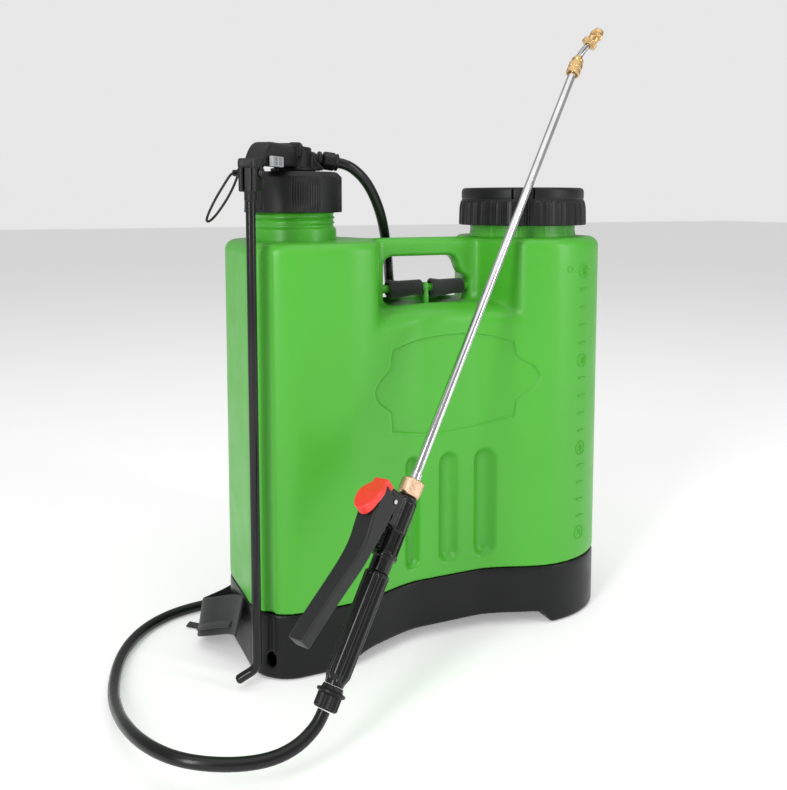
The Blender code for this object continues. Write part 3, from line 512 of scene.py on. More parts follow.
def swept(path, section, up, closed=False):
    """Rings of a section carried along a path. Returns points, faces, and the length along at each point."""
    normal = np.asarray(up, float)
    verts = []
    for i, point in enumerate(path):
        normal, side = squared(normal, heading(path, i, closed))
        verts += [point + side * a + normal * b for a, b in section]
    m = len(section)
    return np.array(verts), tube_faces(len(path), m, closed), np.repeat(lengths(path), m)


def weave_lengths(along, across):
    return {"along": np.asarray(along) * 0.001, "across": np.asarray(across) * 0.001}


def webbing(name, path, width, thick, up, nodes=(), spacing=1.6):
    """Woven strap with rounded selvedges, carrying its own lengths for the weave."""
    line = even(path, max(8, int(lengths(path)[-1] / spacing)))
    w, t, cols = width / 2.0, thick / 2.0, 12
    section = []
    for sign, bend in ((1.0, (-45.0, 0.0, 45.0)), (-1.0, (135.0, 180.0, 225.0))):
        section += [(-sign * (w - t - (width - 2 * t) * i / cols), -sign * t) for i in range(cols + 1)]
        section += [(sign * (w - t) + t * math.cos(math.radians(a)), t * math.sin(math.radians(a))) for a in bend]
    verts, faces, along = swept(line, section, up)
    across = np.tile(np.array([a for a, b in section]), len(line))
    finish_mesh(name, verts, faces, "webbing", "tank_unit", nodes, attributes=weave_lengths(along, across))


# ---------------------------------------------------------------- distance fields

def smax(a, b, k):
    h = np.clip(0.5 - 0.5 * (b - a) / k, 0.0, 1.0)
    return b + (a - b) * h + k * h * (1.0 - h)


def smin(a, b, k):
    return -smax(-a, -b, k)


def poly_distance(px, py, poly):
    """Signed distance in a plane to a closed outline, inside negative."""
    poly = np.asarray(poly, float)
    best = np.full(np.broadcast(px, py).shape, 1e18)
    inside = np.zeros(best.shape, bool)
    n = len(poly)
    for i in range(n):
        ax, ay = poly[i]
        bx, by = poly[(i + 1) % n]
        ex, ey = bx - ax, by - ay
        wx, wy = px - ax, py - ay
        t = np.clip((wx * ex + wy * ey) / (ex * ex + ey * ey), 0.0, 1.0)
        best = np.minimum(best, (wx - ex * t) ** 2 + (wy - ey * t) ** 2)
        if ay != by:
            cross = ((ay > py) != (by > py)) & (px < ex * (py - ay) / (by - ay) + ax)
            inside ^= cross
    d = np.sqrt(best)
    return np.where(inside, -d, d)


def slab(v, lo, hi):
    return np.maximum(lo - v, v - hi)


def round_box(x, y, z, c, half, r):
    qx, qy, qz = np.abs(x - c[0]) - half[0] + r, np.abs(y - c[1]) - half[1] + r, np.abs(z - c[2]) - half[2] + r
    outside = np.sqrt(np.maximum(qx, 0) ** 2 + np.maximum(qy, 0) ** 2 + np.maximum(qz, 0) ** 2)
    return outside + np.minimum(np.maximum(np.maximum(qx, qy), qz), 0) - r


def cylinder(a, b, h, radius, lo, hi, r=0.5):
    """Round bar: a and b across, h along."""
    d1 = np.sqrt(a ** 2 + b ** 2) - radius + r
    d2 = slab(h, lo, hi) + r
    return np.sqrt(np.maximum(d1, 0) ** 2 + np.maximum(d2, 0) ** 2) + np.minimum(np.maximum(d1, d2), 0) - r


def step01(t):
    t = np.clip(t, 0.0, 1.0)
    return t * t * (3.0 - 2.0 * t)


def skin(func, lo, hi, step):
    """Closed surface where func changes sign, one vertex to a cell (surface nets)."""
    lo, hi = vec(*lo), vec(*hi)
    n = np.ceil((hi - lo) / step).astype(int) + 1
    ax = [lo[i] + np.arange(n[i]) * step for i in range(3)]
    f = func(ax[0][:, None, None], ax[1][None, :, None], ax[2][None, None, :])
    f = np.broadcast_to(f, tuple(n)).astype(np.float32)
    s = f < 0
    count = np.zeros(tuple(n - 1), np.uint8)
    for a in (0, 1):
        for b in (0, 1):
            for c in (0, 1):
                count += s[a:n[0] - 1 + a, b:n[1] - 1 + b, c:n[2] - 1 + c]
    act = (count > 0) & (count < 8)
    ijk = np.argwhere(act)
    index = np.full(act.shape, -1, np.int64)
    index[act] = np.arange(len(ijk))
    acc = np.zeros((len(ijk), 3))
    cnt = np.zeros(len(ijk))
    corners = [(a, b, c) for a in (0, 1) for b in (0, 1) for c in (0, 1)]
    for p in corners:
        for q in corners:
            if sum(q) != sum(p) + 1 or any(qi < pi for pi, qi in zip(p, q)):
                continue
            fp = f[ijk[:, 0] + p[0], ijk[:, 1] + p[1], ijk[:, 2] + p[2]]
            fq = f[ijk[:, 0] + q[0], ijk[:, 1] + q[1], ijk[:, 2] + q[2]]
            hit = (fp < 0) != (fq < 0)
            t = fp[hit] / (fp[hit] - fq[hit])
            acc[hit] += vec(*p) + (vec(*q) - vec(*p)) * t[:, None]
            cnt[hit] += 1
    verts = lo + (ijk + acc / cnt[:, None]) * step
    quads = []
    for axis in range(3):
        sl0 = [slice(1, -1)] * 3
        sl1 = [slice(1, -1)] * 3
        sl0[axis] = slice(0, -1)
        sl1[axis] = slice(1, None)
        change = s[tuple(sl0)] != s[tuple(sl1)]
        at = np.argwhere(change)
        for k in range(3):
            if k != axis:
                at[:, k] += 1
        inner = s[at[:, 0], at[:, 1], at[:, 2]]
        u, v = (axis + 1) % 3, (axis + 2) % 3
        cells = []
        for du, dv in ((-1, -1), (0, -1), (0, 0), (-1, 0)):
            c = at.copy()
            c[:, u] += du
            c[:, v] += dv
            cells.append(index[c[:, 0], c[:, 1], c[:, 2]])
        quad = np.stack(cells, axis=1)
        quad[~inner] = quad[~inner][:, ::-1]
        quads.append(quad)
    return verts, np.concatenate(quads)


def sculpted(name, func, lo, hi, step, look, body, nodes=(), at=None):
    verts, faces = skin(func, lo, hi, step * (1.0))
    if at is not None:
        verts = to_world(verts, at)
    return finish_mesh(name, verts, faces, look, body, nodes)


# ---------------------------------------------------------------- tank

X_LEFT, X_RIGHT, Y_FRONT, Y_REAR, X_MID = -207.0, 209.0, -87.2, 87.5, 5.0
Z_BASE, Z_TOP, Z_SADDLE = 66.0, 424.5, 356.5


def front_y(x):
    return Y_FRONT + 22.5 * step01((122.0 - np.abs(x - X_MID)) / 92.0)


def rear_y(x):
    return Y_REAR - 24.0 * step01((112.0 - np.abs(x - X_MID)) / 80.0)


def outline():
    """Tank seen from above, anticlockwise."""
    corners = (
        (X_LEFT, Y_FRONT, 42.0, 43.0, 180.0, 270.0), (X_RIGHT, Y_FRONT, 84.0, 64.0, 270.0, 360.0),
        (X_RIGHT, Y_REAR, 60.0, 64.0, 0.0, 90.0), (X_LEFT, Y_REAR, 60.0, 64.0, 90.0, 180.0))
    arcs = []
    for ex, ey, ax, ay, a0, a1 in corners:
        cx, cy = ex + math.copysign(ax, -ex), ey + math.copysign(ay, -ey)
        a = np.radians(np.linspace(a0, a1, 26))
        arcs.append(np.stack([cx + ax * np.cos(a), cy + ay * np.sin(a)], axis=1))
    x = np.linspace(arcs[0][-1][0], arcs[1][0][0], 62)[1:-1]
    front = np.stack([x, front_y(x)], axis=1)
    x = np.linspace(arcs[2][-1][0], arcs[3][0][0], 62)[1:-1]
    rear = np.stack([x, rear_y(x)], axis=1)
    return np.vstack([arcs[0], front, arcs[1], arcs[2], rear, arcs[3]])


OUTLINE = outline()


def capped(d2, z, lo, hi, r_lo, r_hi):
    """Upright body over a plan distance, its bottom and top edges rounded."""
    parts = []
    for r, face in ((r_lo, lo - z), (r_hi, z - hi)):
        a, b = d2 + r, face + r
        parts.append(np.sqrt(np.maximum(a, 0) ** 2 + np.maximum(b, 0) ** 2) + np.minimum(np.maximum(a, b), 0) - r)
    return np.maximum(parts[0], parts[1])


def cartouche():
    top = through([(-63.5, 314.5, 0), (-26.0, 322.8, 0), (14.0, 325.5, 0), (48.0, 322.5, 0), (77.0, 314.6, 0)], 8)
    right = through([(79.5, 300.0, 0), (88.5, 293.5, 0), (99.0, 287.0, 0), (104.0, 276.6, 0), (98.5, 265.0, 0),
                     (88.0, 257.5, 0), (80.0, 251.0, 0)], 6)
    low = through([(78.0, 234.0, 0), (40.0, 226.2, 0), (-6.5, 223.0, 0), (-38.0, 226.0, 0), (-63.5, 232.0, 0)], 8)
    left = through([(-65.0, 252.0, 0), (-72.5, 258.0, 0), (-81.0, 264.5, 0), (-85.4, 274.5, 0), (-81.0, 284.5, 0),
                    (-73.5, 290.5, 0), (-66.5, 296.0, 0)], 6)
    return np.vstack([top, right, low, left])[:, :2]


def stadium(x, z, cx, z0, z1, r):
    dz = z - np.clip(z, z0 + r, z1 - r)
    return np.sqrt((x - cx) ** 2 + dz ** 2) - r


GRIP = [(-46.0, 357.5), (-41.0, 352.0), (5.0, 352.0), (53.0, 352.0), (57.5, 356.5), (57.5, 377.0), (53.5, 381.0),
        (48.5, 384.5), (45.5, 390.0), (43.0, 397.0), (39.5, 402.0), (33.0, 404.5), (-37.0, 404.5), (-42.5, 402.0),
        (-45.5, 397.0)]


def tank_field(x, y, z):
    d2 = poly_distance(x[:, :, 0], y[:, :, 0], OUTLINE)[:, :, None]
    d = capped(d2, z, Z_BASE + 0.3, Z_TOP, 2.5, 11.0)
    d = smax(d, 9.0 - np.sqrt((x + 199.5) ** 2 + (y + 77.6) ** 2), 2.2)
    front = np.clip((-11.0 - y) / 89.0, 0.0, 1.0)
    back = np.clip((y - 11.0) / 89.0, 0.0, 1.0)
    xl = -56.0 - 33.0 * front - 24.0 * back
    xr = 66.0 + 23.0 * front + 24.0 * back
    face = np.where(y < 0.0, front_y(x) / front_y(X_MID), rear_y(x) / rear_y(X_MID))
    roll = np.maximum(np.abs(y) / face - 36.0, 0.0)
    floor = Z_SADDLE - 6.0 * (2.0 * (x - X_MID) / 190.0) ** 2 - 0.014 * roll ** 2
    gap = smax(smax(floor - z, 11.0 - np.abs(y), 8.0), smax(xl - x, x - xr, 2.0), 10.0)
    d = smax(d, -gap, 9.0)
    x2, z2 = x[:, 0, :], z[:, 0, :]
    hole = np.maximum(poly_distance(x2, z2, GRIP)[:, None, :], np.abs(y) - 30.0)
    d = smax(d, -hole, 6.0)
    face = 0.0
    for cx, r in ((-37.5, 9.5), (5.0, 12.0), (48.0, 13.0)):
        inside = np.clip(-stadium(x2, z2, cx, 80.0, 201.0, r) / (r * 0.8), 0.0, 1.0)
        face = face + 8.5 * np.sin(0.5 * np.pi * inside)
    d = d + np.where(y < -30.0, face[:, None, :], 0.0)
    ribs = 0.0
    for zc in (120.0, 165.0, 210.0, 255.0, 300.0):
        ribs = ribs + 2.6 * step01(-stadium(z2, x2, zc, -55.0, 65.0, 7.0) / 4.5)
    return d + np.where(y > 30.0, ribs[:, None, :], 0.0)


def sink_cartouche(shell):
    """The front panel's shaped field, sunk by a sharp small step that needs a finer mesh than the shell's."""
    shape = cartouche()
    bm = bmesh.new()
    bm.from_mesh(shell.data)

    def places():
        pts = np.array([v.co for v in bm.verts]) * 1000.0 - np.asarray(SHIFT)
        far = np.full(len(pts), 99.0)
        near = (pts[:, 1] < -50.0) & (np.abs(pts[:, 0]) < 125.0) & (pts[:, 2] > 210.0) & (pts[:, 2] < 338.0)
        far[near] = poly_distance(pts[near, 0], pts[near, 2], shape)
        return far

    for reach in (3.4, 1.7):
        far = places()
        bm.verts.index_update()
        edges = [e for e in bm.edges if min(abs(far[e.verts[0].index]), abs(far[e.verts[1].index])) < reach]
        bmesh.ops.subdivide_edges(bm, edges=edges, cuts=1, use_grid_fill=True)
        bm.verts.ensure_lookup_table()
    far = places()
    drop = 1.7 * step01(0.5 - far / 1.5) - 0.4 * np.exp(-((far - 1.6) / 1.1) ** 2)
    for v, d, f in zip(bm.verts, drop, far):
        if f < 20.0:
            v.co.y += d * 0.001
    bm.to_mesh(shell.data)
    bm.free()
    shell.data.shade_smooth()


def build_tank():
    shell = sculpted("tank_shell", tank_field, (-212.0, -92.0, 61.0), (214.0, 92.5, 430.0), 1.9, "green",
                     "tank_unit", ["tank"])
    sink_cartouche(shell)

    def threads(a, r, z):
        if r > 40.0 and 438.9 < z < 470.0:
            phase = np.mod(z - 439.5 - 5.2 * a / TAU, 5.2) - 2.6
            fade = step01((z - 439.5) / 3.0) * step01((469.0 - z) / 3.0)
            r = r + 1.5 * np.exp(-(phase / 0.95) ** 2) * fade
        return r

    turned("neck_pump", [(0.0, 416.0), (44.5, 416.0), (43.8, 435.8), (41.0, 438.2), (40.5, 470.8), (36.5, 470.8),
                         (36.5, 440.0), (0.0, 440.0)], PUMP_AT, "green", "tank_unit",
           segs=144, ease=1.0, shape=threads, extra=0.7, sharp=50)

    def lugs(a, r, z):
        if r > 58.0:
            r = r + 0.9 * np.exp(-(np.sin((a - 0.4) * 6.0) / 0.12) ** 2)
        return r

    turned("neck_filler", [(0.0, 416.0), (61.0, 416.0), (59.8, 427.5), (59.0, 430.0), (59.0, 462.6), (55.0, 462.6),
                           (55.0, 430.0), (0.0, 430.0)], FILL_AT, "green", "tank_unit",
           segs=288, ease=1.2, shape=lugs, sharp=50)
    turned("strap_bar", rod_prof(4.5, -60.0, 66.0), frame_at((0.0, -4.0, 369.5), (1.0, 0.0, 0.0)), "green",
           "tank_unit", segs=48, ease=0.8)
    post = [(2.9, -8.3), (8.6, -8.3), (8.6, 0.3), (2.9, 0.3)]
    rings = []
    for z, k in ((346.0, 1.15), (352.0, 1.0), (372.0, 1.0), (375.2, 0.86)):
        c = np.mean(post, axis=0)
        rings.append([(c[0] + (p[0] - c[0]) * k, c[1] + (p[1] - c[1]) * k, z) for p in post])
    verts = [p for ring in rings for p in ring]
    obj = finish_mesh("strap_bar_post", verts, tube_faces(4, 4), "green", "tank_unit")
    mod = obj.modifiers.new("edges", "BEVEL")
    mod.width = 0.0012
    mod.segments = 3
    mod.limit_method = "ANGLE"
    scale_marks()


SEGMENTS = {
    "0": "abcdef", "1": "bc", "2": "abged", "3": "abgcd", "4": "fgbc", "5": "afgcd", "6": "afgedc", "7": "abc",
    "8": "abcdefg", "9": "abcdfg"}
STROKES = {
    "a": ((-1, 2), (1, 2)), "b": ((1, 2), (1, 0)), "c": ((1, 0), (1, -2)), "d": ((-1, -2), (1, -2)),
    "e": ((-1, 0), (-1, -2)), "f": ((-1, 2), (-1, 0)), "g": ((-1, 0), (1, 0))}


def surface_y(x):
    """Front face of the tank at x, on the outline."""
    lower = OUTLINE[OUTLINE[:, 1] < -20.0]
    order = np.argsort(lower[:, 0])
    return np.interp(x, lower[order, 0], lower[order, 1])


def scale_marks():
    """Raised litre scale on the right column: rings with plain numbers and bars between them."""
    verts, faces = [], []

    def ridge(points, width, height, closed=False):
        pts = np.asarray(points, float)
        n = len(pts)
        base = len(verts)
        for i in range(n):
            d = heading(pts, i, closed)
            nrm = vec(-d[1], d[0])
            for off, h in ((-0.5, -0.35), (-0.27, height), (0.27, height), (0.5, -0.35)):
                p = pts[i] + nrm * width * off
                slope = surface_y(p[0] + 0.5) - surface_y(p[0] - 0.5)
                k = math.sqrt(1.0 + slope * slope)
                verts.append((p[0] + h * slope / k, float(surface_y(p[0])) - h / k, p[1]))
        faces.extend(tube_faces(n, 4, closed, base))

    def ring(cx, cz, r, width, height):
        a = np.arange(32) * TAU / 32
        ridge(np.stack([cx + r * np.cos(a), cz + r * np.sin(a)], axis=1), width, height, True)

    marks = ((388.0, "16"), (290.0, "12"), (192.0, "8"), (95.5, "4"))
    for zc, text in marks:
        ring(159.5, zc, 7.2, 1.3, 0.9)
        for i, ch in enumerate(text):
            cx = 159.5 + (i - (len(text) - 1) / 2.0) * 4.6
            for key in SEGMENTS[ch]:
                (ax, az), (bx, bz) = STROKES[key]
                ridge([(cx + ax * 1.35, zc + az * 1.5), (cx + bx * 1.35, zc + bz * 1.5)], 1.0, 0.8)
    for upper, lower in zip(marks[:-1], marks[1:]):
        for k in range(1, 5):
            zc = upper[0] + (lower[0] - upper[0]) * k / 5.0
            ridge([(154.5, zc), (157.0, zc), (160.0, zc), (162.5, zc), (165.0, zc)], 2.2, 1.1)
    ring(138.5, 391.0, 3.2, 1.0, 0.7)
    finish_mesh("scale_marks", verts, faces, "green", "tank_unit", sharp=40)


# ---------------------------------------------------------------- base

ARCH = [(-119.0, -9.0), (123.0, -9.0), (123.0, 0.0), (112.0, 13.0), (100.0, 14.5), (-86.0, 14.5), (-100.0, 12.0),
        (-114.0, 5.0), (-119.0, 0.0)]


def base_field(x, y, z):
    d2 = poly_distance(x[:, :, 0], y[:, :, 0], OUTLINE)[:, :, None]
    d = capped(d2, z, 0.0, Z_BASE, 4.5, 1.0)
    d = d + 0.5 * step01((z - 60.5) / 1.5)
    arch = poly_distance(x[:, 0, :], z[:, 0, :], ARCH)[:, None, :]
    d = smax(d, -arch, 2.5)
    pocket = np.maximum(d2 + 6.0, slab(z, 9.0, 61.0))
    d = smax(d, -pocket, 2.0)
    across = (x + 194.3) * 0.62 - (y + 75.0) * 0.785
    deep = -(x + 194.3) * 0.785 - (y + 75.0) * 0.62
    hole = cylinder(across, (z - 20.0) * 0.72, deep, 5.4, -18.0, 14.0, 1.0)
    d = smax(d, -hole, 1.2)
    slot = np.maximum(np.sqrt((across - 1.5) ** 2 + (deep - 0.9) ** 2) - 2.6, slab(z, 28.0, 63.0))
    return smax(d, -slot, 1.2)


def build_base():
    sculpted("base_shell", base_field, (-212.0, -92.0, -4.0), (214.0, 92.5, 70.0), 1.9, "base",
             "tank_unit", ["base"])


# ---------------------------------------------------------------- pump

def build_pump():
    def grip(a, r, z):
        if r > 46.0 and z < 489.5:
            deg = np.mod(np.degrees(a) + 111.4, 72.0)
            ribbed = step01(deg / 1.0) * step01((36.0 - deg) / 1.0)
            if z > 454.5 and z < 487.0:
                r = r - 1.0 * ribbed * (0.5 + 0.5 * np.cos(deg / 3.0 * TAU))
                r = r - 0.5 * (1.0 - ribbed) * (np.abs(deg - 54.0) < 14.0)
        return r

    turned("pump_cap_ring", [
        (49.8, 452.5), (49.8, 488.0), (45.2, 492.6), (44.4, 492.6), (43.6, 493.2), (24.0, 493.2), (24.0, 474.1),
        (43.2, 474.1), (43.2, 452.5)], PUMP_AT, "black", "pump_cap", ["pump_cap"],
        segs=1080, ease=0.7, shape=grip, extra=6.0, sharp=60)

    right = vec(0.9128, -0.4084, 0.0)
    near = vec(-0.4084, -0.9128, 0.0)
    out = unit(OUT_DIR * vec(1, 1, 0))

    def field(a, b, z):
        wx = a * ARM[0] + b * PINDIR[0]
        wy = a * ARM[1] + b * PINDIR[1]
        hub = cylinder(a, b, z, 19.0, 494.0, 518.5, 2.5)
        flange = cylinder(a, b, z, 22.8, 494.0, 497.2, 0.8)
        half = 12.0 - 0.035 * np.clip(a - 40.0, 0.0, 80.0)
        top = 519.5 - 15.5 * np.clip((a - 74.0) / 24.0, 0.0, 1.2) ** 2
        arm = smax(smax(np.abs(b) - half, z - top, 5.0), smax(497.5 - z, slab(a, 2.0, 101.0), 2.0), 2.0)
        web = round_box(a, b, z, (105.0, 0.0, 498.5), (10.5, 8.8, 4.2), 1.5)
        d = smin(smin(hub, arm, 4.0), smin(web, flange, 1.0), 2.0)
        for side in (-1.0, 1.0):
            ear = round_box(a, b, z, (107.8, side * 6.6, 486.0), (7.4, 2.1, 13.5), 1.2)
            boss = cylinder(a - 107.8, z - Z_PIN, b * side, 7.0, 6.0, 9.6, 0.5)
            d = smin(d, smin(ear, boss, 1.0), 1.5)
        d = smax(d, 3.2 - np.sqrt((a - 107.8) ** 2 + (z - Z_PIN) ** 2), 0.4)
        u = wx * right[0] + wy * right[1]
        v = wx * near[0] + wy * near[1]
        blockd = round_box(u, v, z, (-3.5, 9.0, 513.0), (12.8, 11.0, 8.8), 2.6)
        lid = round_box(u, v, z, (4.5, 12.5, 515.0), (5.8, 9.5, 7.4), 1.6)
        d = smin(d, smin(blockd, lid, 0.8), 1.5)
        for k in (-12.0, -8.5, -5.0, -1.5):
            d = smin(d, round_box(u, v, z, (k, 15.0, 500.0), (0.8, 6.0, 6.5), 0.4), 0.5)
        w = wx * out[0] + wy * out[1]
        s = -wx * out[1] + wy * out[0]
        fin_top = 515.5 - (w - 12.0) * 0.95
        foot = smax(495.0 - z, slab(w, 6.0, 30.0), 1.0)
        fin, fin2 = (smax(smax(np.abs(s + off) - 1.6, z - fin_top, 1.0), foot, 0.8) for off in (6.5, -6.5))
        stem = cylinder(s, z - 510.0 + 0.139 * w, w, 7.2, 4.0, 20.6, 1.0)
        return smin(d, smin(smin(fin, fin2, 0.5), stem, 2.0), 1.5)

    sculpted("pump_head_body", field, (-34.0, -30.0, 468.0), (122.0, 34.0, 526.0), 0.85, "black",
             "pump_rod_unit", ["pump_head"], at=(PUMP, HEAD_AXES))

    spot = PUMP + ARM * 77.0 + PINDIR * 14.0 + UP * 500.8

    def plate(a, b, z):
        d = round_box(a, b, z, (0.0, -0.4, 0.0), (13.5, 1.9, 4.8), 0.7)
        for i in (-1, 1):
            for j in (-1, 1):
                d = smax(d, -round_box(a, b, z, (i * 5.6, 1.5, j * 1.9), (3.6, 1.6, 1.3), 0.3), 0.3)
        return d

    sculpted("head_latch", plate, (-16.0, -4.0, -7.0), (16.0, 4.0, 7.0), 0.4, "grey", "pump_rod_unit",
             ["head_insert"], at=(spot, HEAD_AXES))
    pin_at = frame_at(ROD + UP * Z_PIN, PINDIR)
    turned("clevis_pin_fine", [(0.0, -16.5), (3.0, -16.5), (3.0, 8.9), (4.9, 9.8), (4.9, 12.2), (3.4, 13.2),
                               (0.0, 13.4)], pin_at, "gloss", "pump_rod_unit", ["clevis_pin"],
           segs=48, ease=0.5)
    turned("clevis_pin_knob", [(3.05, -11.6), (4.2, -11.5), (4.6, -10.6), (4.2, -9.8), (3.05, -9.6)], pin_at,
           "black", "pump_rod_unit", segs=48, ease=0.3)
    elbow_at = frame_at(OUT_START, OUT_DIR)
    turned("outlet_elbow_fine", [(0.0, -3.0), (7.0, -3.0), (7.0, 1.5), (6.0, 2.5), (5.9, 4.6), (8.6, 5.4), (8.6, 8.2),
                                 (6.4, 9.2), (6.0, 10.5), (0.0, 10.5)], elbow_at, "black", "pump_rod_unit",
           ["outlet_elbow"], segs=64, ease=0.5)

    def hexed(a, r, z):
        if r > 9.0:
            r = np.minimum(r, 9.1 / np.cos(np.mod(a + TAU / 16, TAU / 8) - TAU / 16))
        return r

    turned("outlet_nut_fine", [(7.4, 10.8), (10.0, 12.2), (10.0, 22.3), (8.4, 23.2), (8.2, 24.4), (8.9, 25.2),
                               (8.9, 26.6), (7.6, 27.0), (5.8, 27.0), (5.8, 10.8)], elbow_at, "black",
           "outlet_nut", ["outlet_nut"], segs=192, ease=0.5, shape=hexed, extra=2.5, sharp=30)

    rod_parts()
    loop_wire()


def ring_section(radius, n=28):
    a = np.arange(n) * TAU / n
    return list(zip(radius * np.cos(a), radius * np.sin(a)))


def rod_parts():
    top = ROD + UP * 481.0
    low = ROD + np.array((
        (0.0, 0.0, 34.0), (0.0, 0.0, 28.5), (-0.5, 0.2, 24.3), (-2.2, 0.7, 20.3), (-5.0, 1.6, 17.2),
        (-8.6, 2.7, 14.9), (-13.0, 4.0, 12.2), (-18.0, 5.6, 9.0)))
    straight = np.linspace(top, low[0], 30)
    path = np.vstack([straight[:-1], through(low, 4)])
    section = ring_section(4.5)
    verts, faces, _ = swept(path, section, PINDIR)
    last = slice(-len(section), None)
    verts[last] = path[-1] + (verts[last] - path[-1]) * 0.72
    finish_mesh("drive_rod_bar", verts, faces, "gloss", "drive_rod", ["drive_rod"], sharp=40)

    def eye(a, b, z):
        d = round_box(a, b, z, (0.0, 0.0, -5.5), (5.5, 4.05, 12.0), 1.4)
        d = smin(d, cylinder(a, b, z, 5.6, -26.0, -14.0, 1.2), 2.5)
        return smax(d, 3.1 - np.sqrt(a ** 2 + z ** 2), 0.4)

    sculpted("drive_rod_eye", eye, (-9.0, -7.0, -29.0), (9.0, 7.0, 9.0), 0.6, "black", "drive_rod",
             at=(ROD + UP * Z_PIN, HEAD_AXES))


def loop_wire():
    c = ROD - PINDIR * 13.5 + UP * Z_PIN
    leg = ((4.0, 0.0, 0.0), (8.0, 2.5, -2.5), (11.0, 8.0, -12.0), (12.0, 15.5, -24.0), (9.0, 24.0, -37.0),
           (3.5, 28.5, -43.5))
    shape = [(0.0, 0.0, 0.0)] + list(leg) + [(-x, y, z) for x, y, z in reversed(leg)]
    pts = [c + ARM * x - PINDIR * y + UP * z for x, y, z in shape]
    dense = through([pts[-1]] + pts + [pts[0], pts[1]], 10)[10:-20]
    verts, faces, _ = swept(dense, ring_section(1.15, 14), UP, closed=True)
    finish_mesh("keeper_wire", verts, faces, "black", "keeper_loop", ["keeper_loop"])


# ---------------------------------------------------------------- filler

def build_filler():
    def flutes(a, r, z):
        if r > 67.0 and z < 465.0:
            k = np.mod(np.degrees(a) + 3.0, 10.0) - 5.0
            fade = step01((464.5 - z) / 3.0)
            groove = np.exp(-(k / 0.9) ** 2) + 0.55 * np.exp(-((np.abs(k) - 2.0) / 0.5) ** 2)
            r = r - 1.7 * groove * fade + 0.35 * np.cos(np.radians(k * 36.0)) * fade
        elif r > 64.0 and z > 465.9:
            for centre in (-130.8, -111.7, 49.2, 68.3):
                k = np.mod(np.degrees(a) - centre + 180.0, 360.0) - 180.0
                r = r - 2.6 * np.exp(-(k / 0.55) ** 2)
        return r

    turned("filler_cap_body", [
        (72.2, 437.0), (72.4, 440.0), (71.9, 456.0), (71.0, 461.5), (69.6, 464.6), (68.6, 465.8), (69.3, 467.0),
        (69.3, 474.5), (68.3, 477.3), (66.0, 478.5), (63.6, 478.5), (62.4, 477.4), (61.0, 472.4), (18.0, 472.2),
        (0.0, 472.2), (0.0, 467.9), (60.0, 467.9), (61.0, 437.0)], FILL_AT, "black", "filler_cap",
        ["filler_cap"], segs=1440, ease=0.8, shape=flutes, extra=5.0, sharp=60)
    turned("breather_cap", [(0.0, 472.0), (7.0, 472.0), (7.0, 475.0), (5.6, 476.5), (0.0, 476.5)],
           FILL_AT, "rubber", "filler_cap", ["breather_valve"], segs=64, ease=0.6)


# ---------------------------------------------------------------- gun

LEVER = (
    (-22.0, 36.4), (-28.5, 38.9), (-35.0, 41.0), (-42.0, 41.9), (-54.0, 40.9), (-70.0, 39.0), (-82.0, 39.6),
    (-96.0, 42.6), (-110.0, 46.6), (-138.0, 54.6), (-165.0, 61.5))


def lever_lines():
    """Outer line of the lever in (v, s), the direction inwards from it, and the depth at each point."""
    pts = through([(v, s, 0.0) for s, v in LEVER], 5)[:, :2]
    d = np.gradient(pts, axis=0)
    d = d / np.linalg.norm(d, axis=1)[:, None]
    inward = np.stack([d[:, 1], -d[:, 0]], axis=1)
    inward[inward[:, 0] > 0] *= -1.0
    depth = np.interp(pts[:, 1], [-170.0, -75.0, -58.0, -46.0, -10.0], [12.0, 13.5, 19.0, 22.0, 21.0])
    return pts, inward, depth


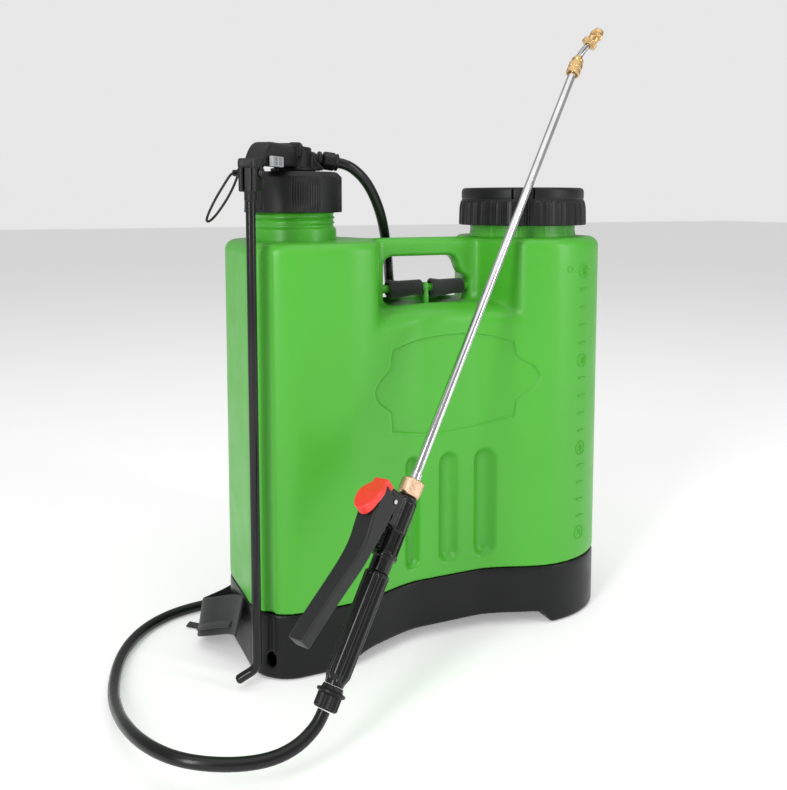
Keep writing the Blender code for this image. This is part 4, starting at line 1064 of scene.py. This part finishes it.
def build_gun():
    outer, inward, depth = lever_lines()
    inner = outer + inward * depth[:, None]
    side = np.vstack([outer, inner[::-1]])
    core = np.vstack([outer + inward * 2.2, (outer + inward * (depth[:, None] + 9.0))[::-1]])

    def lever(v, t, s):
        ds = poly_distance(v[:, 0, :], s[:, 0, :], side)[:, None, :]
        width = 11.0 - 1.6 * step01((-60.0 - s) / 60.0)
        d = smax(ds, np.abs(t) - width, 3.0)
        dc = poly_distance(v[:, 0, :], s[:, 0, :], core)[:, None, :]
        hollow = smax(smax(dc, np.abs(t) - width + 2.1, 1.2), slab(s, -162.0, -10.0), 1.0)
        d = smax(d, -hollow, 0.8)
        return smax(d, 2.2 - np.sqrt((v - 24.0) ** 2 + (s + 30.0) ** 2), 0.4)

    sculpted("trigger_lever", lever, (15.0, -13.0, -169.0), (66.0, 13.0, -8.0), 0.85, "lever", "trigger",
             ["trigger"], at=GUN)

    def body(v, t, s):
        d = cylinder(v, t, s, 9.5, -87.2, -73.0, 0.8)
        for radius, lo, hi, edge, blend in (
                (11.6, -74.2, -69.8, 0.9, 0.8), (8.2, -71.0, -46.0, 0.6, 1.5), (9.8, -49.0, -21.5, 1.0, 2.0),
                (8.6, -24.0, -16.8, 0.8, 0.8), (10.3, -20.5, -17.6, 0.7, 0.6)):
            d = smin(d, cylinder(v, t, s, radius, lo, hi, edge), blend)
        for a in (35.0, 90.0, 145.0, 215.0, 270.0, 325.0):
            ca, sa = math.cos(math.radians(a)), math.sin(math.radians(a))
            u, w = v * ca + t * sa, -v * sa + t * ca
            rib = round_box(u, w, s, (9.4, 0.0, -45.0), (1.6, 1.3, 24.5), 0.7)
            d = smin(d, rib, 0.8)
        bracket = round_box(v, t, s, (17.5, 0.0, -33.5), (12.5, 6.5, 14.5), 1.5)
        window = round_box(v, t, s, (20.5, 0.0, -42.5), (5.0, 9.0, 3.0), 1.0)
        bracket = smax(bracket, -window, 0.8)
        boss = cylinder(v - 24.0, s + 30.0, t, 5.4, -8.6, 8.6, 0.6)
        d = smin(d, smin(bracket, boss, 1.0), 1.6)
        foot = smax(smax(np.abs(t) - 2.2, (v + (s + 62.0) * 0.55) - 17.0, 0.8), slab(s, -68.0, -44.0), 0.8)
        foot = smax(foot, 2.0 - v, 0.6)
        d = smin(d, smax(foot, 4.9 - np.sqrt((v - 15.5) ** 2 + t ** 2), 0.4), 1.0)
        return smax(d, 2.12 - np.sqrt((v - 24.0) ** 2 + (s + 30.0) ** 2), 0.4)

    sculpted("gun_valve_body", body, (-14.0, -14.0, -90.0), (33.0, 14.0, -14.0), 0.7, "gloss", "gun",
             ["gun_body"], at=GUN)

    def fluted(a, r, z):
        if r > 8.4 and -182.0 < z < -89.0:
            fade = step01((z + 182.0) / 6.0) * step01((-89.0 - z) / 3.0)
            r = r - 1.5 * np.exp(-((np.mod(np.degrees(a) + 10.0, 36.0) - 18.0) / 6.5) ** 2) * fade
        return r

    turned("grip_sleeve_fine", [(0.0, -184.0), (8.2, -184.0), (8.6, -181.0), (10.8, -175.0), (11.2, -92.0),
                                (11.4, -91.0), (11.4, -88.6), (10.2, -87.5), (0.0, -87.5)], GUN, "gloss",
           "gun", ["grip_sleeve"], segs=240, ease=0.5, shape=fluted, extra=2.0, sharp=45)

    def ribs(a, r, z):
        if r > 9.4 and z < -192.0:
            r = r + 0.5 * np.cos(a * 12.0)
        return r

    turned("gun_hose_nut_fine", [
        (8.8, -203.5), (10.2, -202.0), (10.2, -192.0), (12.6, -190.8), (12.6, -188.6), (9.6, -187.8), (8.8, -184.3),
        (4.0, -184.3), (4.0, -197.0), (6.2, -197.0), (6.2, -203.5)], GUN, "black", "gun_hose_nut",
        ["gun_hose_nut"], segs=144, ease=0.4, shape=ribs, extra=2.0, sharp=40)
    turned("trigger_pin_fine", rod_prof(2.0, -12.6, 12.6), frame_at(LANCE_FOOT - W * 30.0 + V * 24.0, T),
           "steel", "gun", ["trigger_pin"], segs=32, ease=0.4)
    turned("valve_stem_fine", [(0.0, -66.0), (2.6, -66.0), (2.6, -57.0), (4.2, -56.5), (4.2, -52.0), (2.6, -51.5),
                               (2.6, -48.6), (0.0, -48.6)], (LANCE_FOOT + V * 15.5, GUN[1]), "black",
           "valve_stem", ["valve_stem"], segs=40, ease=0.3)

    tilt = math.radians(20.0)
    up_dir = unit(W * math.cos(tilt) - V * math.sin(tilt))
    out_dir = unit(V * math.cos(tilt) + W * math.sin(tilt))
    centre = LANCE_FOOT - W * 34.5 + V * 41.2

    def lock(a, b, h):
        oval = (np.sqrt((a / 13.0) ** 2 + (b / 17.6) ** 2) - 1.0) * 13.5
        top = 6.6 - 0.20 * np.maximum(b - 1.0, 0.0) - 0.03 * np.maximum(-b, 0.0)
        under = 0.5 - 0.34 * np.maximum(-b - 5.8, 0.0)
        d = smax(smax(oval, h - top, 1.6), under - h, 0.6)
        tab = round_box(a, b, h, (0.0, 16.2, -1.5), (8.5, 2.6, 5.6), 1.2)
        tab = smax(tab, -round_box(a, b, h, (0.0, 13.0, -5.5), (4.6, 9.0, 5.0), 0.8), 0.6)
        return smin(d, tab, 1.0)

    sculpted("red_lock_cap", lock, (-15.5, -20.0, -11.0), (15.5, 20.0, 10.0), 0.55, "red", "red_lock",
             ["red_lock"], at=(centre, np.array((T, up_dir, out_dir))))


# ---------------------------------------------------------------- lance

def build_lance():
    def knurl(a, r, z):
        if r > 10.0 and -13.4 < z < -1.8:
            r = r - 0.32 * (np.abs(np.sin(a * 27.0 + z * 1.35)) * np.abs(np.sin(a * 27.0 - z * 1.35)))
        return r

    turned("lance_nut_fine", [(8.2, -16.5), (9.6, -15.6), (10.7, -13.8), (10.7, -1.6), (9.4, -0.3), (4.9, -0.3),
                              (4.9, -16.5)], GUN, "copper", "lance_nut", ["lance_nut"], segs=432,
           ease=0.4, shape=knurl, extra=0.5, sharp=60)
    turned("lance_ferrule_fine", [(6.4, 0.0), (6.0, 3.2), (5.9, 6.5), (4.8, 6.5), (4.8, 0.0)], GUN, "steel",
           "gun", ["lance_ferrule"], segs=64, ease=0.3)
    turned("lance_tube_fine", tube_prof(4.5, 3.6, -16.0, LANCE), GUN, "steel", "gun", ["lance_tube"],
           segs=64, ease=0.3)

    def bands(a, r, z):
        if r > 7.0:
            r = r + 0.25 * np.abs(np.sin(a * 20.0))
        return r

    e = LANCE
    turned("lance_connector_fine", [
        (6.4, e - 4.0), (7.6, e - 3.0), (7.6, e + 2.5), (7.0, e + 3.1), (7.0, e + 4.0), (7.6, e + 4.6),
        (7.6, e + 11.5), (6.2, e + 13.0), (6.2, e + 15.0), (6.8, e + 15.6), (6.8, e + 18.0), (4.8, e + 20.0),
        (4.6, e + 22.0), (3.9, e + 22.0), (3.9, e + 0.3), (4.8, e + 0.3), (4.8, e - 4.0)], GUN, "brass",
        "nozzle_swivel", ["lance_connector"], segs=160, ease=0.35, shape=bands, extra=1.5, sharp=40)
    a, b = NOZ_KNEE - W * 7.0, NOZ_KNEE + NOZ_DIR * 7.0
    turn = [a * (1 - t) ** 2 + NOZ_KNEE * 2 * t * (1 - t) + b * t * t for t in np.linspace(0, 1, 13)]
    path = np.vstack([[LANCE_HEAD + W * 1.0, LANCE_HEAD + W * 10.0], turn, [NOZ_KNEE + NOZ_DIR * 19.0]])
    verts, faces, _ = swept(path, ring_section(3.5, 32), T)
    finish_mesh("nozzle_bend", verts, faces, "dark_steel", "nozzle_swivel", ["nozzle_elbow"], sharp=40)
    tip = frame_at(NOZ_KNEE + NOZ_DIR * 14.0, NOZ_DIR)
    turned("nozzle_collar_fine", [(6.8, -0.6), (8.6, 0.4), (8.6, 5.2), (7.8, 6.0), (3.85, 6.0), (3.85, -0.6)], tip,
           "brass", "nozzle_swivel", ["nozzle_collar"], segs=160, ease=0.35, shape=bands, extra=1.5,
           sharp=40)

    def fine(a, r, z):
        if r > 7.0:
            r = r - 0.22 * np.abs(np.sin(a * 24.0))
        return r

    turned("nozzle_tip_fine", [
        (5.8, 6.3), (6.2, 6.8), (6.2, 11.4), (5.6, 12.0), (7.4, 12.8), (7.4, 17.0), (6.6, 17.8), (4.6, 22.4),
        (3.6, 23.0), (1.0, 23.0), (1.0, 8.0), (3.85, 6.3)], tip, "brass", "nozzle_tip", ["nozzle_body"],
        segs=192, ease=0.3, shape=fine, extra=1.5, sharp=35)


# ---------------------------------------------------------------- harness

def build_harness():
    for tag, x0, x1 in (("l", -41.0, 1.5), ("r", 10.0, 52.0)):
        turns, n = 2.15, 90
        pts = []
        for i in range(n + 1):
            t = i / n
            a = math.radians(200.0) + t * turns * TAU
            r = 5.7 + 2.9 * t
            x = (x0 + x1) / 2.0 + 0.8 * math.sin(7.0 * t)
            pts.append(vec(x, -4.0 + r * math.cos(a), 369.5 + r * math.sin(a)))
        webbing("strap_roll_" + tag, np.array(pts), x1 - x0 - 2.0, 1.3, pts[0] - vec((x0 + x1) / 2, -4.0, 369.5),
                ["strap_loop_" + tag], spacing=1.1)
    for tag, sign, x_top in (("l", -1.0, -21.0), ("r", 1.0, 34.0)):
        xa = x_top + sign * 16.0
        xb = xa + sign * 56.0
        top = [(x_top + sign * x, y, z) for x, y, z in (
            (0.0, 5.5, 372.3), (0.0, 12.0, 371.0), (0.0, 22.0, 368.0), (4.0, 50.0, 366.0), (8.0, 74.0, 362.0),
            (12.0, 88.0, 346.0), (16.0, 94.5, 328.0), (16.6, 96.0, 318.0))]
        pad = [(xa + sign * x, y, z) for x, y, z in (
            (0.0, 96.2, 321.0), (8.0, 96.6, 290.0), (30.0, 97.0, 240.0), (46.0, 97.0, 180.0), (56.0, 97.0, 130.0))]
        low = [(xb + sign * x, y, z) for x, y, z in (
            (-0.4, 97.0, 136.0), (1.0, 97.0, 125.5), (5.0, 96.0, 108.0), (18.0, 93.5, 84.0), (30.0, 91.2, 66.0),
            (40.0, 90.5, 50.0))]
        webbing("strap_top_web_" + tag, soft_line(top, 8, 60, 4), 38.0, 1.7, UP, ["strap_top_" + tag])
        shoulder_pad(tag, soft_line(pad, 10, 80, 6))
        webbing("strap_low_web_" + tag, soft_line(low, 8, 50, 4), 30.0, 1.7, REARWARD, ["strap_low_" + tag])
        buckle("strap_buckle_" + tag, vec(xb + sign * 5.0, 97.4, 108.0), unit((sign * 0.22, -0.05, -1.0)), 37.0)
    bundle()


REARWARD = vec(0.0, 1.0, 0.0)
PAD_HALF, PAD_RINGS, PAD_SIDES = 24.0, 76, 80
PAD_SEAM = 0.36  # share of the half width


def shoulder_pad(tag, line):
    """Foam pad: crowned, pinched at two sewn channels and at its bound edge."""
    line = even(line, PAD_RINGS)
    s = lengths(line)
    verts, along, across, edges = [], [], [], {1.0: [], -1.0: []}
    for i, point in enumerate(line):
        nn, side = squared(REARWARD, heading(line, i))
        end = min(s[i], s[-1] - s[i])
        taper = math.sqrt(max(0.0, 1.0 - max(0.0, 1.0 - end / 20.0) ** 2))
        w = PAD_HALF * (0.62 + 0.38 * taper)
        thick = 0.9 + 3.7 * taper
        for sign in edges:
            edges[sign].append(point + side * w * sign)
        for k in range(PAD_SIDES):
            a = TAU * k / PAD_SIDES
            x = w * np.sign(math.cos(a)) * abs(math.cos(a)) ** 0.8
            crown = 1.0 - abs(x / w) ** 3.2
            h = thick * crown ** 0.6 * (1.0 if math.sin(a) >= 0 else -0.8)
            for seam in (-PAD_SEAM, PAD_SEAM):
                h *= 1.0 - 0.42 * math.exp(-((x / w - seam) / 0.055) ** 2) * (1.0 if end > 9.0 else 0.0)
            wave = 1.0 + 0.03 * math.sin(s[i] * 0.21 + 2.0 * x / w)
            verts.append(point + side * x + nn * (h * wave))
            along.append(s[i])
            across.append(x)
    pad = finish_mesh("shoulder_pad_foam_" + tag, verts, tube_faces(PAD_RINGS, PAD_SIDES), "foam", "tank_unit",
                      ["shoulder_pad_" + tag], sharp=70)
    rim = np.array(edges[1.0][2:-2] + edges[-1.0][2:-2][::-1])
    oval = ring_section(1.5, 10)
    verts, faces, run = swept(rim, oval, REARWARD, closed=True)
    finish_mesh("pad_binding_" + tag, verts, faces, "binding", "tank_unit",
                attributes=weave_lengths(run, np.tile([p[0] for p in oval], len(rim))))
    stitches("pad_stitches_" + tag, line, (-PAD_SEAM * PAD_HALF, PAD_SEAM * PAD_HALF), 2.9)


def stitches(name, line, offsets, lift):
    """Thread runs on both faces of a pad: 2.4 mm stitches every 4.2 mm, clear of its ends."""
    verts, faces = [], []
    s = lengths(line)
    for off in offsets:
        pos = 12.0
        while pos < s[-1] - 12.0:
            p, q = (vec(*[np.interp(at, s, line[:, k]) for k in range(3)]) for at in (pos, pos + 2.4))
            nn, side = squared(REARWARD, unit(q - p))
            for sign in (1.0, -0.8):
                faces += tube_faces(4, 6, base=len(verts))
                for t, h in ((0.0, -0.35), (0.3, 0.12), (0.7, 0.12), (1.0, -0.35)):
                    c = p + (q - p) * t + side * off + nn * (sign * lift + np.sign(sign) * h)
                    for a in range(6):
                        verts.append(c + (side * math.cos(TAU * a / 6) + nn * math.sin(TAU * a / 6)) * 0.28)
            pos += 4.2
    finish_mesh(name, verts, faces, "thread", "tank_unit")


def buckle(name, centre, direction, width):
    """Ladder buckle: a frame with two slots and a round bar between them."""
    n, side = squared(REARWARD, direction)
    half = width / 2.0

    def ladder(a, b, h):
        d = round_box(a, b, h, (0.0, 0.0, 0.0), (half, 13.0, 2.0), 1.4)
        for c in (-6.6, 6.6):
            d = smax(d, -round_box(a, b, h, (0.0, c, 0.0), (half - 3.2, 3.6, 6.0), 0.8), 0.8)
        return smin(d, cylinder(b, h - 1.2, a, 2.0, 2.0 - half, half - 2.0, 0.6), 0.8)

    sculpted(name, ladder, (-half - 2.5, -15.5, -4.5), (half + 2.5, 15.5, 5.5), 0.7, "black", "tank_unit",
             at=(centre, np.array((side, direction, n))))


def bundle():
    """Waist belt folded against the base's left side, with its tail on the floor."""
    facing = (0.66, 0.75, 0.0)
    fold = [(-184.0, 79.5, 20.4), (-199.0, 66.0, 20.4), (-213.0, 56.0, 20.8), (-228.0, 47.0, 21.5),
            (-238.0, 36.0, 24.5), (-240.0, 25.0, 28.5), (-235.5, 13.0, 33.5), (-227.5, 0.0, 39.0),
            (-221.0, -13.0, 44.5), (-216.5, -25.0, 48.5), (-214.5, -36.0, 51.0)]
    webbing("belt_fold", soft_line(fold, 8, 110, 6), 38.0, 1.8, facing, ["strap_bundle"])
    inner = [(-212.0, 49.0, 19.5), (-222.0, 40.5, 21.0), (-230.5, 31.0, 24.5), (-233.0, 23.5, 28.0),
             (-229.5, 13.0, 33.0), (-222.5, 1.5, 38.0), (-216.0, -10.0, 43.0), (-211.5, -20.0, 46.5)]
    webbing("belt_fold_inner", soft_line(inner, 8, 80, 6), 35.0, 1.8, facing)
    tail = [(-216.0, 40.0, 2.4), (-224.0, 50.0, 1.4), (-232.0, 59.0, 1.2), (-240.0, 66.0, 1.3), (-246.0, 70.0, 2.2)]
    webbing("belt_tail", soft_line(tail, 8, 40, 3), 11.0, 1.6, UP)


# ---------------------------------------------------------------- hose

ROUTE = (
    (-95.9, -5.1, 503.3), (-86.8, -6.0, 501.2), (-78.0, -5.8, 497.2), (-63.5, -2.5, 486.0),
    (-50.0, 5.0, 467.5), (-37.0, 16.0, 445.0), (-27.0, 30.0, 422.0), (-15.5, 49.0, 399.0),
    (-5.0, 71.0, 380.0), (4.0, 84.0, 345.0), (2.0, 78.0, 300.0), (-4.0, 75.0, 240.0),
    (-12.0, 76.0, 180.0), (-24.0, 78.0, 120.0), (-44.0, 84.0, 70.0), (-76.0, 93.0, 36.0),
    (-118.0, 99.0, 20.0), (-160.0, 99.0, 13.0), (-190.0, 99.5, 9.0), (-218.0, 101.5, 6.0),
    (-249.7, 97.0, 5.8), (-279.2, 81.8, 5.8), (-304.0, 55.9, 5.8), (-324.6, 15.1, 5.8),
    (-338.0, -42.8, 8.0), (-341.0, -94.5, 15.0), (-338.0, -142.0, 24.0), (-329.0, -179.5, 29.0),
    (-311.0, -208.5, 29.5), (-287.0, -223.5, 27.5), (-262.0, -232.0, 25.8), (-238.8, -234.7, 25.5),
    (-228.0, -234.2, 26.5), (-215.9, -232.3, 30.1), (-203.0, -228.5, 37.9), (-197.5, -226.2, 43.1),
    (-192.9, -223.9, 49.0))


HOSE_RADIUS_M, FLOOR_GAP, HOSE_RUN, END_RUN = 0.0055, 5.8, 1212.0, 45.0


def build_hose():
    """The route relaxed, but blended back to itself near both ends so that it meets the nuts squarely."""
    n = 400
    raw = even(through(ROUTE, 12), n)
    away = np.minimum(np.arange(n), np.arange(n)[::-1]) / (n - 1.0) * HOSE_RUN
    keep = step01(1.0 - away / END_RUN)[:, None]
    line = raw * keep + relaxed(raw, 36) * (1.0 - keep)
    line[:, 2] = np.maximum(line[:, 2], FLOOR_GAP)
    line = even(line, 220)
    curve = bpy.data.curves.new("delivery_hose", "CURVE")
    curve.dimensions = "3D"
    spline = curve.splines.new("POLY")
    spline.points.add(len(line) - 1)
    for point, p in zip(spline.points, (line + SHIFT) * 0.001):
        point.co = (*p, 1.0)
    curve.bevel_depth = HOSE_RADIUS_M
    curve.bevel_resolution = 8
    curve.use_fill_caps = True
    spline.use_smooth = True
    hose = linked(bpy.data.objects.new("delivery_hose", curve))
    curve.materials.append(MAT["hose"])
    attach(hose, "tank_unit")
    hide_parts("hose")


def repaint():
    """Materials for the CAD solids that stay as they are."""
    looks = {
        "pump_cylinder": "white", "foot_valve_seat": "grey", "foot_valve_ball": "steel", "air_chamber": "white",
        "dip_tube": "white", "piston": "white", "piston_cup": "rubber", "strainer": "white",
        "filler_gasket": "rubber"}
    for node, look in looks.items():
        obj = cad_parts[node]
        if not obj.material_slots:
            obj.data.materials.append(None)
        obj.material_slots[0].material = MAT[look]


make_camera()
make_stage()
build_hose()
build_tank()
build_base()
build_pump()
build_filler()
build_gun()
build_lance()
build_harness()
repaint()
